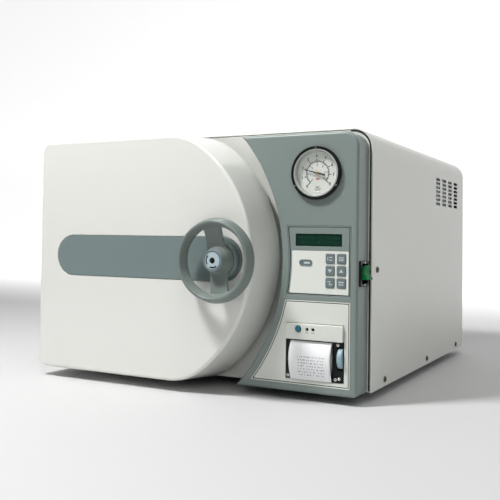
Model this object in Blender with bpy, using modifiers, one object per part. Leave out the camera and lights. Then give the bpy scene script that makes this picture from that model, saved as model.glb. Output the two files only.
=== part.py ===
"""Benchtop steam autoclave with a hinged front door, as an assembly of separate parts.

Frame: metres, +Z up, the door faces -Y and its hinge is on the -X side. The origin is at the middle
of the whole object's width and depth, on the surface that the feet stand on.
Run it with: blender --background --python part.py
"""

import math

import bmesh
import bpy
from mathutils import Matrix, Vector

# ---- Driving dimensions -------------------------------------------------------------------------
CASE_WIDTH = 0.492
CASE_DEPTH = 0.5135
CASE_HEIGHT = 0.342
FOOT_HEIGHT = 0.012
WHEEL_REACH = 0.1105        # how far the handwheel's rim stands in front of the casing
REAR_PROUD = 0.0045         # how far the mains inlet stands out of the back
ROCKER_PROUD = 0.0035       # how far the power rocker stands out past the casing's right side
GAP = 0.0003                # clearance between two parts that touch
SHEET = 0.002               # thickness of the steel sheet
STEPS = 40                  # sides of a large round part
SMALL_STEPS = 20            # sides of a small round part

# ---- Planes of the casing, worked out from the above ---------------------------------------------
LEFT = -(CASE_WIDTH + ROCKER_PROUD) / 2
RIGHT = LEFT + CASE_WIDTH
FRONT = (WHEEL_REACH - CASE_DEPTH - REAR_PROUD) / 2
BACK = FRONT + CASE_DEPTH
BOTTOM = FOOT_HEIGHT
TOP = BOTTOM + CASE_HEIGHT
CASE_CORNER = 0.028

# ---- Chamber -------------------------------------------------------------------------------------
CHAMBER_X = RIGHT - 0.317
CHAMBER_Z = BOTTOM + 0.1675
CHAMBER_RADIUS = 0.110
CHAMBER_WALL = 0.003
CHAMBER_LENGTH = 0.345      # straight part, from the mouth to where the domed end starts
DOME_DEPTH = 0.040
FLANGE_RADIUS = 0.122
JACKET_RADIUS = 0.138

# ---- Door ----------------------------------------------------------------------------------------
DOOR_FACE = FRONT - 0.0793
DOOR_REAR = FRONT - 0.0140
DOOR_LEFT = LEFT
DOOR_FACE_RADIUS = 0.183
DOOR_REAR_RADIUS = 0.192
DOOR_FACE_Z = (BOTTOM + 0.0022, BOTTOM + 0.3305)
DOOR_REAR_Z = (BOTTOM - 0.0010, BOTTOM + 0.3340)
DOOR_CORNER = 0.014
DOOR_WALL = 0.0035
HINGE_X = RIGHT - 0.474
HINGE_Y = FRONT - 0.022
PIN_RADIUS = 0.005
BAND_HALF = 0.029
BAND_LEFT = RIGHT - 0.458
WHEEL_X = RIGHT - 0.175
WHEEL_Z = BOTTOM + 0.1665
SHAFT_RADIUS = 0.006
DOG_HALF = (0.005, 0.016)   # half width and half height of the latch dog, as it stands unlatched

# ---- Control fascia ------------------------------------------------------------------------------
FASCIA_FACE = FRONT - 0.0384
FASCIA_REAR = FRONT - 0.0003
FASCIA_RIGHT = RIGHT - 0.0054
FASCIA_Z = (BOTTOM - 0.0012, BOTTOM + 0.3332)
FASCIA_ARC = (RIGHT - 0.3575, BOTTOM + 0.1679, 0.247)   # centre x, centre z and radius of its left edge
FASCIA_CORNERS = (0.006, 0.020)                          # bottom right and top right
PANEL_INSET = 0.0105        # from the fascia's curved edge to the panels set in it
PANEL_RIGHT = RIGHT - 0.0145
KEYPAD_Z = (BOTTOM + 0.1230, BOTTOM + 0.2130)
PRINTER_Z = (BOTTOM + 0.0085, BOTTOM + 0.1168)
GAUGE_X = RIGHT - 0.062
GAUGE_Z = BOTTOM + 0.2807
GAUGE_RADIUS = 0.0345
NEEDLE_ZERO = math.radians(160)   # where the pointer rests, from +X, counter-clockwise
LCD_X = (RIGHT - 0.0906, RIGHT - 0.0270)
LCD_Z = (BOTTOM + 0.1868, BOTTOM + 0.2022)
KEY_SIZE = 0.0118
KEY_PITCH = 0.0153
KEY_FIRST = (RIGHT - 0.0422, BOTTOM + 0.1711)
HEAD_X = (RIGHT - 0.1024, RIGHT - 0.0229)
HEAD_Z = (BOTTOM + 0.0668, BOTTOM + 0.0872)
CRADLE_Z = (BOTTOM + 0.0160, BOTTOM + 0.0662)
PAPER_X = (RIGHT - 0.0956, RIGHT - 0.0382)
ROLL_RADIUS = 0.021
FEED_KNOB = (RIGHT - 0.0302, RIGHT - 0.0237, 0.014)     # left end, right end, radius
FEED_KNOB_Y = FASCIA_FACE + 0.0075
FEED_KNOB_Z = BOTTOM + 0.0463
SWITCH_Y = (FRONT - 0.0335, FRONT - 0.0035)
SWITCH_Z = (BOTTOM + 0.1365, BOTTOM + 0.1690)
ROCKER_TILT = math.radians(10)

# ---- Rear and inside -----------------------------------------------------------------------------
VENT_COLUMNS = 4
VENT_ROWS = 7
VENT_FIRST_Y = FRONT + 0.331
VENT_PITCH_Y = 0.041
VENT_TOP_Z = BOTTOM + 0.2985
VENT_PITCH_Z = 0.0068
VENT_SIZE = (0.027, 0.003)
FAN_CENTRE = (RIGHT - 0.090, BOTTOM + 0.150)
FAN_RADIUS = 0.043
INLET_CENTRE = (RIGHT - 0.050, BOTTOM + 0.045)
FEET = {"left_front": (LEFT + 0.075, FRONT + 0.075), "right_front": (RIGHT - 0.075, FRONT + 0.075),
        "left_rear": (LEFT + 0.075, BACK - 0.075), "right_rear": (RIGHT - 0.075, BACK - 0.075)}


# ---- Scene, materials and shape helpers ----------------------------------------------------------
def clear_scene():
    for old in list(bpy.data.objects):
        bpy.data.objects.remove(old, do_unlink=True)


def new_collection(name):
    made = bpy.data.collections.new(name)
    bpy.context.scene.collection.children.link(made)
    return made


def material(name, colour, roughness, metallic=0.0):
    made = bpy.data.materials.get(name)
    if made is None:
        made = bpy.data.materials.new(name)
        made.use_nodes = True
        shader = made.node_tree.nodes["Principled BSDF"]
        shader.inputs["Base Color"].default_value = (*colour, 1.0)
        shader.inputs["Roughness"].default_value = roughness
        shader.inputs["Metallic"].default_value = metallic
    return made


def white_paint():
    return material("white_paint", (0.80, 0.81, 0.77), 0.35)


def grey_plastic():
    return material("grey_plastic", (0.22, 0.27, 0.25), 0.45)


def cream_plastic():
    return material("cream_plastic", (0.68, 0.70, 0.64), 0.45)


def black_plastic():
    return material("black_plastic", (0.02, 0.02, 0.02), 0.5)


def steel():
    return material("steel", (0.60, 0.60, 0.58), 0.3, 1.0)


def rubber():
    return material("rubber", (0.03, 0.03, 0.03), 0.8)


def silicone():
    return material("silicone", (0.75, 0.72, 0.68), 0.6)


def wool():
    return material("insulation", (0.72, 0.70, 0.62), 0.9)


def clear_glass():
    return material("clear_glass", (0.90, 0.95, 0.95), 0.05)


def finish(name, mesh, coat):
    """Puts a mesh in the scene as a named part with one material."""
    made = bpy.data.objects.new(name, mesh)
    mesh.materials.clear()
    mesh.materials.append(coat)
    PARTS.objects.link(made)
    return made


def smooth(part):
    part.data.shade_smooth()
    part.data.set_sharp_from_angle(angle=math.radians(35))
    return part


def box(name, low, high, coat):
    """A block between two corners."""
    low, high = Vector(low), Vector(high)
    form = bmesh.new()
    bmesh.ops.create_cube(form, size=1.0)
    bmesh.ops.scale(form, vec=high - low, verts=form.verts)
    bmesh.ops.translate(form, vec=(low + high) / 2, verts=form.verts)
    mesh = bpy.data.meshes.new(name)
    form.to_mesh(mesh)
    form.free()
    return finish(name, mesh, coat)


def rod(name, start, end, radius, coat, sides=SMALL_STEPS):
    """A round bar from one point to another."""
    start, end = Vector(start), Vector(end)
    along = end - start
    place = Matrix.Translation((start + end) / 2) @ along.to_track_quat("Z", "Y").to_matrix().to_4x4()
    form = bmesh.new()
    bmesh.ops.create_cone(form, cap_ends=True, segments=sides, radius1=radius, radius2=radius,
                          depth=along.length, matrix=place)
    mesh = bpy.data.meshes.new(name)
    form.to_mesh(mesh)
    form.free()
    return smooth(finish(name, mesh, coat))


def turned(name, profile, centre, coat, sides=STEPS, turn=(math.pi / 2, 0.0, 0.0), ring=False):
    """A turned part. The profile holds (radius, height) points; the usual turn sends height to -Y."""
    mesh = bpy.data.meshes.new(name)
    count = len(profile)
    edges = [(i, i + 1) for i in range(count - 1)]
    if ring:
        edges.append((count - 1, 0))
    mesh.from_pydata([(radius, 0.0, height) for radius, height in profile], edges, [])
    made = finish(name, mesh, coat)
    made.location = centre
    made.rotation_euler = turn
    screw = made.modifiers.new("Turn", "SCREW")
    screw.steps = sides
    screw.render_steps = sides
    screw.use_merge_vertices = True
    screw.merge_threshold = 1e-5
    screw.use_smooth_shade = True
    return made


def tube_profile(outer, inner, low, high):
    """The closed profile of a plain ring."""
    return [(inner, high), (outer, high), (outer, low), (inner, low)]


def disc_profile(radius, low, high):
    """The open profile of a plain disc, from the axis round to the axis."""
    return [(0.0, high), (radius, high), (radius, low), (0.0, low)]


def plate(name, outlines, front, back, coat):
    """A flat plate in the XZ plane between two Y values. The first outline is its edge, the rest are holes."""
    curve = bpy.data.curves.new(name, "CURVE")
    curve.dimensions = "2D"
    curve.fill_mode = "BOTH"
    curve.extrude = (back - front) / 2
    for outline in outlines:
        spline = curve.splines.new("POLY")
        spline.points.add(len(outline) - 1)
        for point, (x, z) in zip(spline.points, outline):
            point.co = (x, z, 0.0, 1.0)
        spline.use_cyclic_u = True
    guide = bpy.data.objects.new(name + "_outline", curve)
    guide.location = (0.0, (front + back) / 2, 0.0)
    guide.rotation_euler = (math.pi / 2, 0.0, 0.0)
    PARTS.objects.link(guide)
    bpy.context.view_layer.update()
    mesh = bpy.data.meshes.new_from_object(guide.evaluated_get(bpy.context.evaluated_depsgraph_get()))
    mesh.transform(guide.matrix_world)
    bpy.data.objects.remove(guide, do_unlink=True)
    form = bmesh.new()
    form.from_mesh(mesh)
    bmesh.ops.remove_doubles(form, verts=form.verts, dist=1e-6)
    bmesh.ops.recalc_face_normals(form, faces=form.faces)
    form.to_mesh(mesh)
    form.free()
    return finish(name, mesh, coat)


def loft(name, sections, coat):
    """A closed form through sections that have the same number of points, capped at both ends."""
    form = bmesh.new()
    rings = [[form.verts.new(point) for point in section] for section in sections]
    count = len(sections[0])
    for first, second in zip(rings, rings[1:]):
        for i in range(count):
            j = (i + 1) % count
            form.faces.new((first[i], first[j], second[j], second[i]))
    form.faces.new(rings[0])
    form.faces.new(rings[-1])
    bmesh.ops.recalc_face_normals(form, faces=form.faces)
    mesh = bpy.data.meshes.new(name)
    form.to_mesh(mesh)
    form.free()
    return smooth(finish(name, mesh, coat))


def boolean(part, tool, operation):
    """Cuts a tool from a part or joins it to the part, and puts the tool away as a helper."""
    step = part.modifiers.new(operation.title() + "_" + tool.name, "BOOLEAN")
    step.operation = operation
    step.object = tool
    step.solver = "EXACT"
    tool.hide_render = True
    tool.display_type = "WIRE"
    PARTS.objects.unlink(tool)
    CUTTERS.objects.link(tool)
    return part


def cut(part, *tools):
    for tool in tools:
        boolean(part, tool, "DIFFERENCE")
    return part


def join(part, *tools):
    for tool in tools:
        boolean(part, tool, "UNION")
    return part


def arc(cx, cz, radius, start, end, count):
    """Points on an arc in the XZ plane, angles in radians from +X towards +Z."""
    steps = [start + (end - start) * i / (count - 1) for i in range(count)]
    return [(cx + radius * math.cos(a), cz + radius * math.sin(a)) for a in steps]


def circle(cx, cz, radius, count=STEPS):
    return arc(cx, cz, radius, 0.0, 2 * math.pi * (1 - 1 / count), count)


def rectangle(x0, x1, z0, z1):
    return [(x0, z0), (x1, z0), (x1, z1), (x0, z1)]


def mirrored_about(z, low, high):
    """The same height range on the other side of a level."""
    return 2 * z - high, 2 * z - low


# ---- Casing --------------------------------------------------------------------------------------
def arch(inset, base):
    """The casing's outline: straight sides from the base, and rounded top corners."""
    left, right, top = LEFT + inset, RIGHT - inset, TOP - inset
    corner = CASE_CORNER - inset
    return ([(right, base)]
            + arc(right - corner, top - corner, corner, 0.0, math.pi / 2, 7)
            + arc(left + corner, top - corner, corner, math.pi / 2, math.pi, 7)
            + [(left, base)])


def casing_cover():
    """One sheet bent over the sides and the top, with louvre slots near the back of each side."""
    outline = arch(0.0, BOTTOM) + arch(SHEET, BOTTOM)[::-1]
    cover = plate("casing_cover", [outline], FRONT, BACK, white_paint())
    slots = bmesh.new()
    for column in range(VENT_COLUMNS):
        for row in range(VENT_ROWS):
            y = VENT_FIRST_Y + column * VENT_PITCH_Y
            z = VENT_TOP_Z - row * VENT_PITCH_Z
            place = (Matrix.Translation(((LEFT + RIGHT) / 2, y, z))
                     @ Matrix.Diagonal((CASE_WIDTH + 0.04, *VENT_SIZE, 1.0)))
            bmesh.ops.create_cube(slots, size=1.0, matrix=place)
    mesh = bpy.data.meshes.new("vent_slots")
    slots.to_mesh(mesh)
    slots.free()
    return cut(cover, finish("vent_slots", mesh, white_paint()))


def base_tray():
    """The steel tray that carries everything, with upturned sides that the cover screws to."""
    side = SHEET + GAP
    tray = box("base_tray", (LEFT + side, FRONT + 0.003, BOTTOM),
               (RIGHT - side, BACK - 0.003, BOTTOM + 0.020), steel())
    inner = box("base_tray_inside", (LEFT + side + SHEET, FRONT - 0.01, BOTTOM + SHEET),
                (RIGHT - side - SHEET, BACK + 0.01, BOTTOM + 0.05), steel())
    return cut(tray, inner)


def rear_panel():
    side = SHEET + GAP
    base = BOTTOM + SHEET + GAP
    shell = [(x, max(z, base)) for x, z in arch(side + SHEET + GAP, base)]
    x, z = INLET_CENTRE
    inlet = rectangle(x - 0.0145, x + 0.0145, z - 0.0120, z + 0.0120)
    holes = [circle(*FAN_CENTRE, FAN_RADIUS, 32), inlet]
    return plate("rear_panel", [shell] + holes, BACK - 0.0027, BACK - 0.0007, white_paint())


def front_plate():
    """The white plate behind the door, open for the chamber mouth, the latch and the controls."""
    side = SHEET + GAP
    edge = [(x, max(z, BOTTOM + 0.0007)) for x, z in arch(side, BOTTOM + 0.0007)]
    latch = rectangle(WHEEL_X - 0.008, WHEEL_X + 0.008, WHEEL_Z - 0.021, WHEEL_Z + 0.021)
    controls = rectangle(RIGHT - 0.112, RIGHT - 0.016, BOTTOM + 0.014, BOTTOM + 0.318)
    mouth = circle(CHAMBER_X, CHAMBER_Z, FLANGE_RADIUS + 0.0005)
    return plate("front_plate", [edge, mouth, latch, controls], FRONT + 0.0005, FRONT + 0.0025,
                 white_paint())


def keeper_plate():
    """The slotted steel keeper: the latch dog goes through it and turns behind it."""
    x0, x1 = WHEEL_X - 0.0180, WHEEL_X + 0.0300
    edge = rectangle(x0, x1, WHEEL_Z - 0.034, WHEEL_Z + 0.034)
    slot = rectangle(WHEEL_X - 0.008, WHEEL_X + 0.008, WHEEL_Z - 0.021, WHEEL_Z + 0.021)
    return plate("keeper_plate", [edge, slot], FRONT + 0.0028, FRONT + 0.0068, steel())


def feet():
    for place, (x, y) in FEET.items():
        profile = [(0.0, FOOT_HEIGHT - GAP), (0.018, FOOT_HEIGHT - GAP), (0.016, 0.0), (0.0, 0.0)]
        turned("foot_" + place, profile, (x, y, 0.0), rubber(), SMALL_STEPS, (0.0, 0.0, 0.0))


# ---- Chamber -------------------------------------------------------------------------------------
def chamber_vessel():
    """The pressure vessel: a tube open at the front with a domed back end."""
    inner, outer = CHAMBER_RADIUS, CHAMBER_RADIUS + CHAMBER_WALL
    mouth = -0.0005
    dome = [math.pi / 2 * i / 5 for i in range(6)]
    depth = DOME_DEPTH
    inside = [(inner * math.cos(a), -CHAMBER_LENGTH - (depth - CHAMBER_WALL) * math.sin(a)) for a in dome]
    outside = [(outer * math.cos(a), -CHAMBER_LENGTH - depth * math.sin(a)) for a in dome]
    inside[-1] = (0.0, inside[-1][1])
    outside[-1] = (0.0, outside[-1][1])
    profile = inside[::-1] + [(inner, mouth), (outer, mouth)] + outside
    return turned("chamber_vessel", profile, (CHAMBER_X, FRONT, CHAMBER_Z), steel())


def chamber_rings():
    """What goes round the vessel: the mouth's flange, the band heater and the insulation."""
    centre = (CHAMBER_X, FRONT, CHAMBER_Z)
    skin = CHAMBER_RADIUS + CHAMBER_WALL + GAP
    turned("chamber_flange", tube_profile(FLANGE_RADIUS, skin, -0.0125, -0.0005), centre, steel(), ring=True)
    turned("heater_band", tube_profile(skin + 0.003, skin, -0.240, -0.120), centre,
           material("heater_steel", (0.35, 0.34, 0.33), 0.5, 1.0), ring=True)
    turned("insulation_jacket", tube_profile(JACKET_RADIUS, skin + 0.0033, -0.330, -0.028), centre,
           wool(), ring=True)


def chamber_cradle(name, front):
    """A saddle plate that stands on the tray and holds the vessel."""
    plate_top = CHAMBER_Z - 0.045
    saddle = CHAMBER_RADIUS + CHAMBER_WALL + GAP
    width = 0.125
    dip = math.asin((CHAMBER_Z - plate_top) / saddle)
    bowl = arc(CHAMBER_X, CHAMBER_Z, saddle, -dip, -math.pi + dip, 20)
    base = BOTTOM + SHEET + GAP
    edge = [(CHAMBER_X - width, base), (CHAMBER_X + width, base), (CHAMBER_X + width, plate_top)]
    edge += bowl + [(CHAMBER_X - width, plate_top)]
    return plate(name, [edge], front, front + 0.006, steel())


def safety_valve():
    """The spring-loaded relief valve on the domed end of the vessel."""
    profile = [(0.0, -0.387), (0.008, -0.387), (0.008, -0.398), (0.013, -0.398), (0.013, -0.420),
               (0.009, -0.424), (0.009, -0.440), (0.0, -0.440)]
    brass = material("brass", (0.70, 0.52, 0.22), 0.3, 1.0)
    return turned("safety_valve", profile, (CHAMBER_X, FRONT, CHAMBER_Z), brass, SMALL_STEPS)


# ---- Door ----------------------------------------------------------------------------------------
def door_outline(y, radius, z_range, inset):
    """The door's edge at one depth: square on the hinge side, and one large arc on the latch side."""
    radius -= inset
    bottom, top, left = z_range[0] + inset, z_range[1] - inset, DOOR_LEFT + inset
    low = math.asin((CHAMBER_Z - bottom) / radius)
    high = math.asin((top - CHAMBER_Z) / radius)
    corner = DOOR_CORNER - inset
    points = arc(CHAMBER_X, CHAMBER_Z, radius, -low, high, 26)
    points += arc(left + corner, top - corner, corner, math.pi / 2, math.pi, 5)
    points += arc(left + corner, bottom + corner, corner, math.pi, 1.5 * math.pi, 5)
    return [Vector((x, y, z)) for x, z in points]


def door_section(y, inset):
    """The door's outline at any depth, with the slight draft of a moulding."""
    share = (y - DOOR_FACE) / (DOOR_REAR - DOOR_FACE)
    radius = DOOR_FACE_RADIUS + share * (DOOR_REAR_RADIUS - DOOR_FACE_RADIUS)
    z_range = [a + share * (b - a) for a, b in zip(DOOR_FACE_Z, DOOR_REAR_Z)]
    return door_outline(y, radius, z_range, inset)


def stadium(half, left, right, z, count=12):
    """A slot shape with round ends, whose ends reach left and right."""
    return (arc(right - half, z, half, -math.pi / 2, math.pi / 2, count)
            + arc(left + half, z, half, math.pi / 2, 1.5 * math.pi, count))


def door_cover():
    """The moulded cover: a shell open at the back, recessed for the band, notched for the hinge."""
    rounding = [(0.0, 0.0050), (0.0015, 0.0018), (0.0050, 0.0)]
    outside = [door_section(DOOR_FACE + depth, inset) for depth, inset in rounding]
    cover = loft("door_cover", outside + [door_section(DOOR_REAR, 0.0)], white_paint())
    inside = [door_section(DOOR_FACE + 0.0045, DOOR_WALL + 0.002), door_section(DOOR_REAR + 0.01, DOOR_WALL)]
    recess = plate("band_recess", [stadium(BAND_HALF + GAP, BAND_LEFT - GAP, WHEEL_X + 0.0283, CHAMBER_Z)],
                   DOOR_FACE - 0.005, DOOR_FACE + 0.0022, white_paint())
    bore = rod("cover_bore", (WHEEL_X, DOOR_FACE - 0.01, WHEEL_Z), (WHEEL_X, DOOR_FACE + 0.02, WHEEL_Z),
               0.0075, white_paint())
    notches = []
    for label, (low, high) in bracket_heights().items():
        notches.append(box("notch_" + label, (DOOR_LEFT - 0.01, HINGE_Y - 0.020, low - 0.003),
                           (DOOR_LEFT + 0.0055, DOOR_REAR + 0.01, high + 0.003), white_paint()))
    return cut(cover, loft("cover_inside", inside, white_paint()), recess, bore, *notches)


def door_band():
    """The grey band across the door, with a round end under the handwheel."""
    edge = stadium(BAND_HALF, BAND_LEFT, WHEEL_X + 0.028, CHAMBER_Z)
    hole = circle(WHEEL_X, WHEEL_Z, 0.0075, SMALL_STEPS)
    return plate("door_band", [edge, hole], DOOR_FACE - 0.0006, DOOR_FACE + 0.0022 - GAP, grey_plastic())


def wheel_boss():
    """The round boss on the band that the handwheel turns against."""
    profile = tube_profile(0.024, SHAFT_RADIUS + GAP, 0.0009, 0.0089)
    return turned("wheel_boss", profile, (WHEEL_X, DOOR_FACE, WHEEL_Z), grey_plastic(), 32, ring=True)


def bracket_heights():
    low, high = CHAMBER_Z + 0.030, CHAMBER_Z + 0.045
    return {"upper": (low, high), "lower": mirrored_about(CHAMBER_Z, low, high)}


def hinge():
    """Two brackets on the casing, and the pin through them."""
    for label, (low, high) in bracket_heights().items():
        arm = box("hinge_bracket_" + label, (HINGE_X - 0.010, HINGE_Y - 0.010, low),
                  (HINGE_X + 0.010, FRONT + 0.0005 - GAP, high), steel())
        hole = rod("hole_" + label, (HINGE_X, HINGE_Y, low - 0.01), (HINGE_X, HINGE_Y, high + 0.01),
                   PIN_RADIUS + GAP, steel())
        cut(arm, hole)
    rod("hinge_pin", (HINGE_X, HINGE_Y, CHAMBER_Z - 0.048), (HINGE_X, HINGE_Y, CHAMBER_Z + 0.048),
        PIN_RADIUS, steel())


def door_bar():
    """The steel bar that carries the door, from the hinge knuckle to the latch shaft."""
    bar = box("door_bar", (HINGE_X, FRONT - 0.0360, CHAMBER_Z - 0.022),
              (WHEEL_X + 0.025, FRONT - 0.0205, CHAMBER_Z + 0.022), steel())
    knuckle = rod("knuckle", (HINGE_X, HINGE_Y, CHAMBER_Z - 0.0295), (HINGE_X, HINGE_Y, CHAMBER_Z + 0.0295),
                  0.0095, steel())
    eye = rod("knuckle_bore", (HINGE_X, HINGE_Y, CHAMBER_Z - 0.04), (HINGE_X, HINGE_Y, CHAMBER_Z + 0.04),
              PIN_RADIUS + GAP, steel())
    bore = rod("bar_bore", (WHEEL_X, FRONT - 0.05, WHEEL_Z), (WHEEL_X, FRONT - 0.01, WHEEL_Z),
               SHAFT_RADIUS + GAP, steel())
    return cut(join(bar, knuckle), eye, bore)


def door_disc():
    """The pressure disc that closes the chamber, and its gasket."""
    centre = (CHAMBER_X, FRONT, CHAMBER_Z)
    profile = [(0.0, 0.0202), (0.030, 0.0202), (0.030, 0.0165), (0.119, 0.0150), (0.119, 0.0070), (0.0, 0.0070)]
    turned("door_disc", profile, centre, steel())
    turned("door_gasket", tube_profile(0.1185, 0.1095, -0.0002, 0.0067), centre, silicone(), ring=True)


# ---- Handwheel and latch -------------------------------------------------------------------------
def handwheel():
    """A two-spoke wheel: a dished rim, a tapered hub and broad spokes."""
    axis = (WHEEL_X, FRONT, WHEEL_Z)
    rim = [(0.0465, 0.1080), (0.0495, 0.1105), (0.0525, 0.1090), (0.0545, 0.1010), (0.0548, 0.0965),
           (0.0515, 0.0950), (0.0478, 0.1000)]
    wheel = turned("handwheel", rim, axis, grey_plastic(), 36, ring=True)
    hub = [(0.0, 0.1035), (0.0138, 0.1035), (0.0165, 0.0985), (0.0205, 0.0885), (0.0, 0.0885)]
    tilt = Matrix.Rotation(math.radians(4), 2)
    half, reach = 0.0130, 0.0495
    spokes = [tilt @ Vector(p) for p in rectangle(-half, half, -reach, reach)]
    blade = plate("spokes", [[(WHEEL_X + x, WHEEL_Z + z) for x, z in spokes]], FRONT - 0.1032, FRONT - 0.0970,
                  grey_plastic())
    bore = rod("hub_bore", (WHEEL_X, FRONT - 0.12, WHEEL_Z), (WHEEL_X, FRONT - 0.08, WHEEL_Z),
               SHAFT_RADIUS + GAP, grey_plastic())
    join(wheel, blade, turned("hub", hub, axis, grey_plastic(), 24))
    return cut(wheel, bore)


def latch_spindle():
    """The latch shaft: its cap shows in the hub, and its dog stands upright until it is turned."""
    neck = 0.005
    profile = [(0.0, 0.1065), (0.0125, 0.1065), (0.0125, 0.1038), (SHAFT_RADIUS, 0.1038),
               (SHAFT_RADIUS, 0.0200), (neck, 0.0185), (neck, -0.0100), (0.0, -0.0100)]
    shaft = turned("latch_spindle", profile, (WHEEL_X, FRONT, WHEEL_Z), steel(), SMALL_STEPS)
    half_width, half_height = DOG_HALF
    dog = box("dog", (WHEEL_X - half_width, FRONT + 0.0085, WHEEL_Z - half_height),
              (WHEEL_X + half_width, FRONT + 0.0145, WHEEL_Z + half_height), steel())
    return join(shaft, dog)


# ---- Control fascia ------------------------------------------------------------------------------
def curved_panel(inset_left, right, z_range, corners=(0.0, 0.0)):
    """An outline whose left edge follows the fascia's hollow arc, with its right corners rounded."""
    cx, cz, radius = FASCIA_ARC
    radius += inset_left
    bottom, top = z_range
    start = math.asin((top - cz) / radius)
    end = math.asin((bottom - cz) / radius)
    points = arc(cx, cz, radius, start, end, 18)
    for corner, z, side, turn in ((corners[0], bottom, 1, -math.pi / 2), (corners[1], top, -1, 0.0)):
        if corner > 0.0:
            points += arc(right - corner, z + side * corner, corner, turn, turn + math.pi / 2, 6)
        else:
            points.append((right, z))
    return points


def fascia_outline(inset):
    bottom, top = FASCIA_Z
    corners = [corner - inset * 0.5 for corner in FASCIA_CORNERS]
    return curved_panel(inset, FASCIA_RIGHT - inset, (bottom + inset, top - inset), corners)


def control_fascia():
    """The grey moulding: a shell open at the back, with openings for the gauge and the two panels."""
    rounding = [(0.0, 0.0035), (0.0010, 0.0012), (0.0035, 0.0)]
    sections = [[Vector((x, FASCIA_FACE + depth, z)) for x, z in fascia_outline(inset)]
                for depth, inset in rounding]
    sections.append([Vector((x, FASCIA_REAR, z)) for x, z in fascia_outline(0.0)])
    shell = loft("control_fascia", sections, grey_plastic())
    hollow = plate("fascia_hollow", [fascia_outline(0.0035)], FASCIA_FACE + 0.0035, FASCIA_REAR + 0.01,
                   grey_plastic())
    front, back = FASCIA_FACE - 0.01, FASCIA_FACE + 0.01
    gauge = rod("gauge_hole", (GAUGE_X, front, GAUGE_Z), (GAUGE_X, back, GAUGE_Z), 0.031, grey_plastic(), 32)
    windows = []
    for label, z_range in (("keypad_window", KEYPAD_Z), ("printer_window", PRINTER_Z)):
        edge = curved_panel(PANEL_INSET, PANEL_RIGHT, z_range)
        windows.append(plate(label, [edge], front, back, grey_plastic()))
    x = FASCIA_RIGHT
    (y0, y1), (z0, z1) = SWITCH_Y, SWITCH_Z
    switch = box("switch_hole", (x - 0.01, y0 + 0.0025, z0 + 0.0025), (x + 0.01, y1 - 0.0025, z1 - 0.0025),
                 grey_plastic())
    return cut(shell, hollow, gauge, *windows, switch)


def panel_edge(z_range):
    """The edge of a panel, a little smaller than its window."""
    slack = 0.0004
    return curved_panel(PANEL_INSET + slack, PANEL_RIGHT - slack, (z_range[0] + slack, z_range[1] - slack))


def key_centres():
    """The six keys, row by row from the top left."""
    x, z = KEY_FIRST
    return [(x + column * KEY_PITCH, z - row * KEY_PITCH) for row in range(3) for column in range(2)]


def keypad_panel():
    hole = KEY_SIZE / 2 + 0.0003
    holes = [rectangle(x - hole, x + hole, z - hole, z + hole) for x, z in key_centres()]
    lcd = rectangle(LCD_X[0] - GAP, LCD_X[1] + GAP, LCD_Z[0] - GAP, LCD_Z[1] + GAP)
    return plate("keypad_panel", [panel_edge(KEYPAD_Z), lcd] + holes, FASCIA_FACE - 0.0002,
                 FASCIA_FACE + 0.0028, cream_plastic())


def lcd_module():
    glass = material("lcd_green", (0.005, 0.05, 0.02), 0.15)
    return box("lcd_module", (LCD_X[0], FASCIA_FACE + 0.0003, LCD_Z[0]),
               (LCD_X[1], FASCIA_FACE + 0.0090, LCD_Z[1]), glass)


def keys():
    half = KEY_SIZE / 2
    for number, (x, z) in enumerate(key_centres(), 1):
        key = box("key_%d" % number, (-half, -0.0010, -half), (half, 0.0035, half), grey_plastic())
        key.location = (x, FASCIA_FACE, z)


def gauge():
    """The pressure gauge: case, dial, pointer and glass, all turned about one axis."""
    centre = (GAUGE_X, FASCIA_FACE, GAUGE_Z)
    bore = GAUGE_RADIUS - 0.006
    case = [(bore, 0.0060), (GAUGE_RADIUS, 0.0060), (GAUGE_RADIUS, 0.0003), (0.0305, 0.0003),
            (0.0305, -0.0240), (0.0, -0.0240), (0.0, -0.0060), (bore, -0.0060)]
    closed_case = case[5::-1] + case[:5:-1]
    turned("gauge_case", closed_case[::-1], centre, black_plastic(), 32)
    dial = material("dial_white", (0.85, 0.85, 0.82), 0.5)
    turned("gauge_dial", tube_profile(bore - GAP, 0.0012, -0.0057, -0.0047), centre, dial, 32, ring=True)
    turned("gauge_glass", disc_profile(bore - GAP, 0.0030, 0.0048), centre, clear_glass(), 32)
    arbor = turned("gauge_needle", disc_profile(0.0026, -0.0020, 0.0008), (0.0, 0.0, 0.0), black_plastic(), 12)
    arbor.location = centre
    tip, tail = 0.0205, -0.0080
    pointer = [(tip, 0.0), (tail, 0.0014), (tail, -0.0014)]
    c, s = math.cos(NEEDLE_ZERO), math.sin(NEEDLE_ZERO)
    edge = [(GAUGE_X + c * a - s * b, GAUGE_Z + s * a + c * b) for a, b in pointer]
    blade = plate("pointer", [edge], FASCIA_FACE - 0.0002, FASCIA_FACE + 0.0008, black_plastic())
    return join(arbor, blade)


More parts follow.
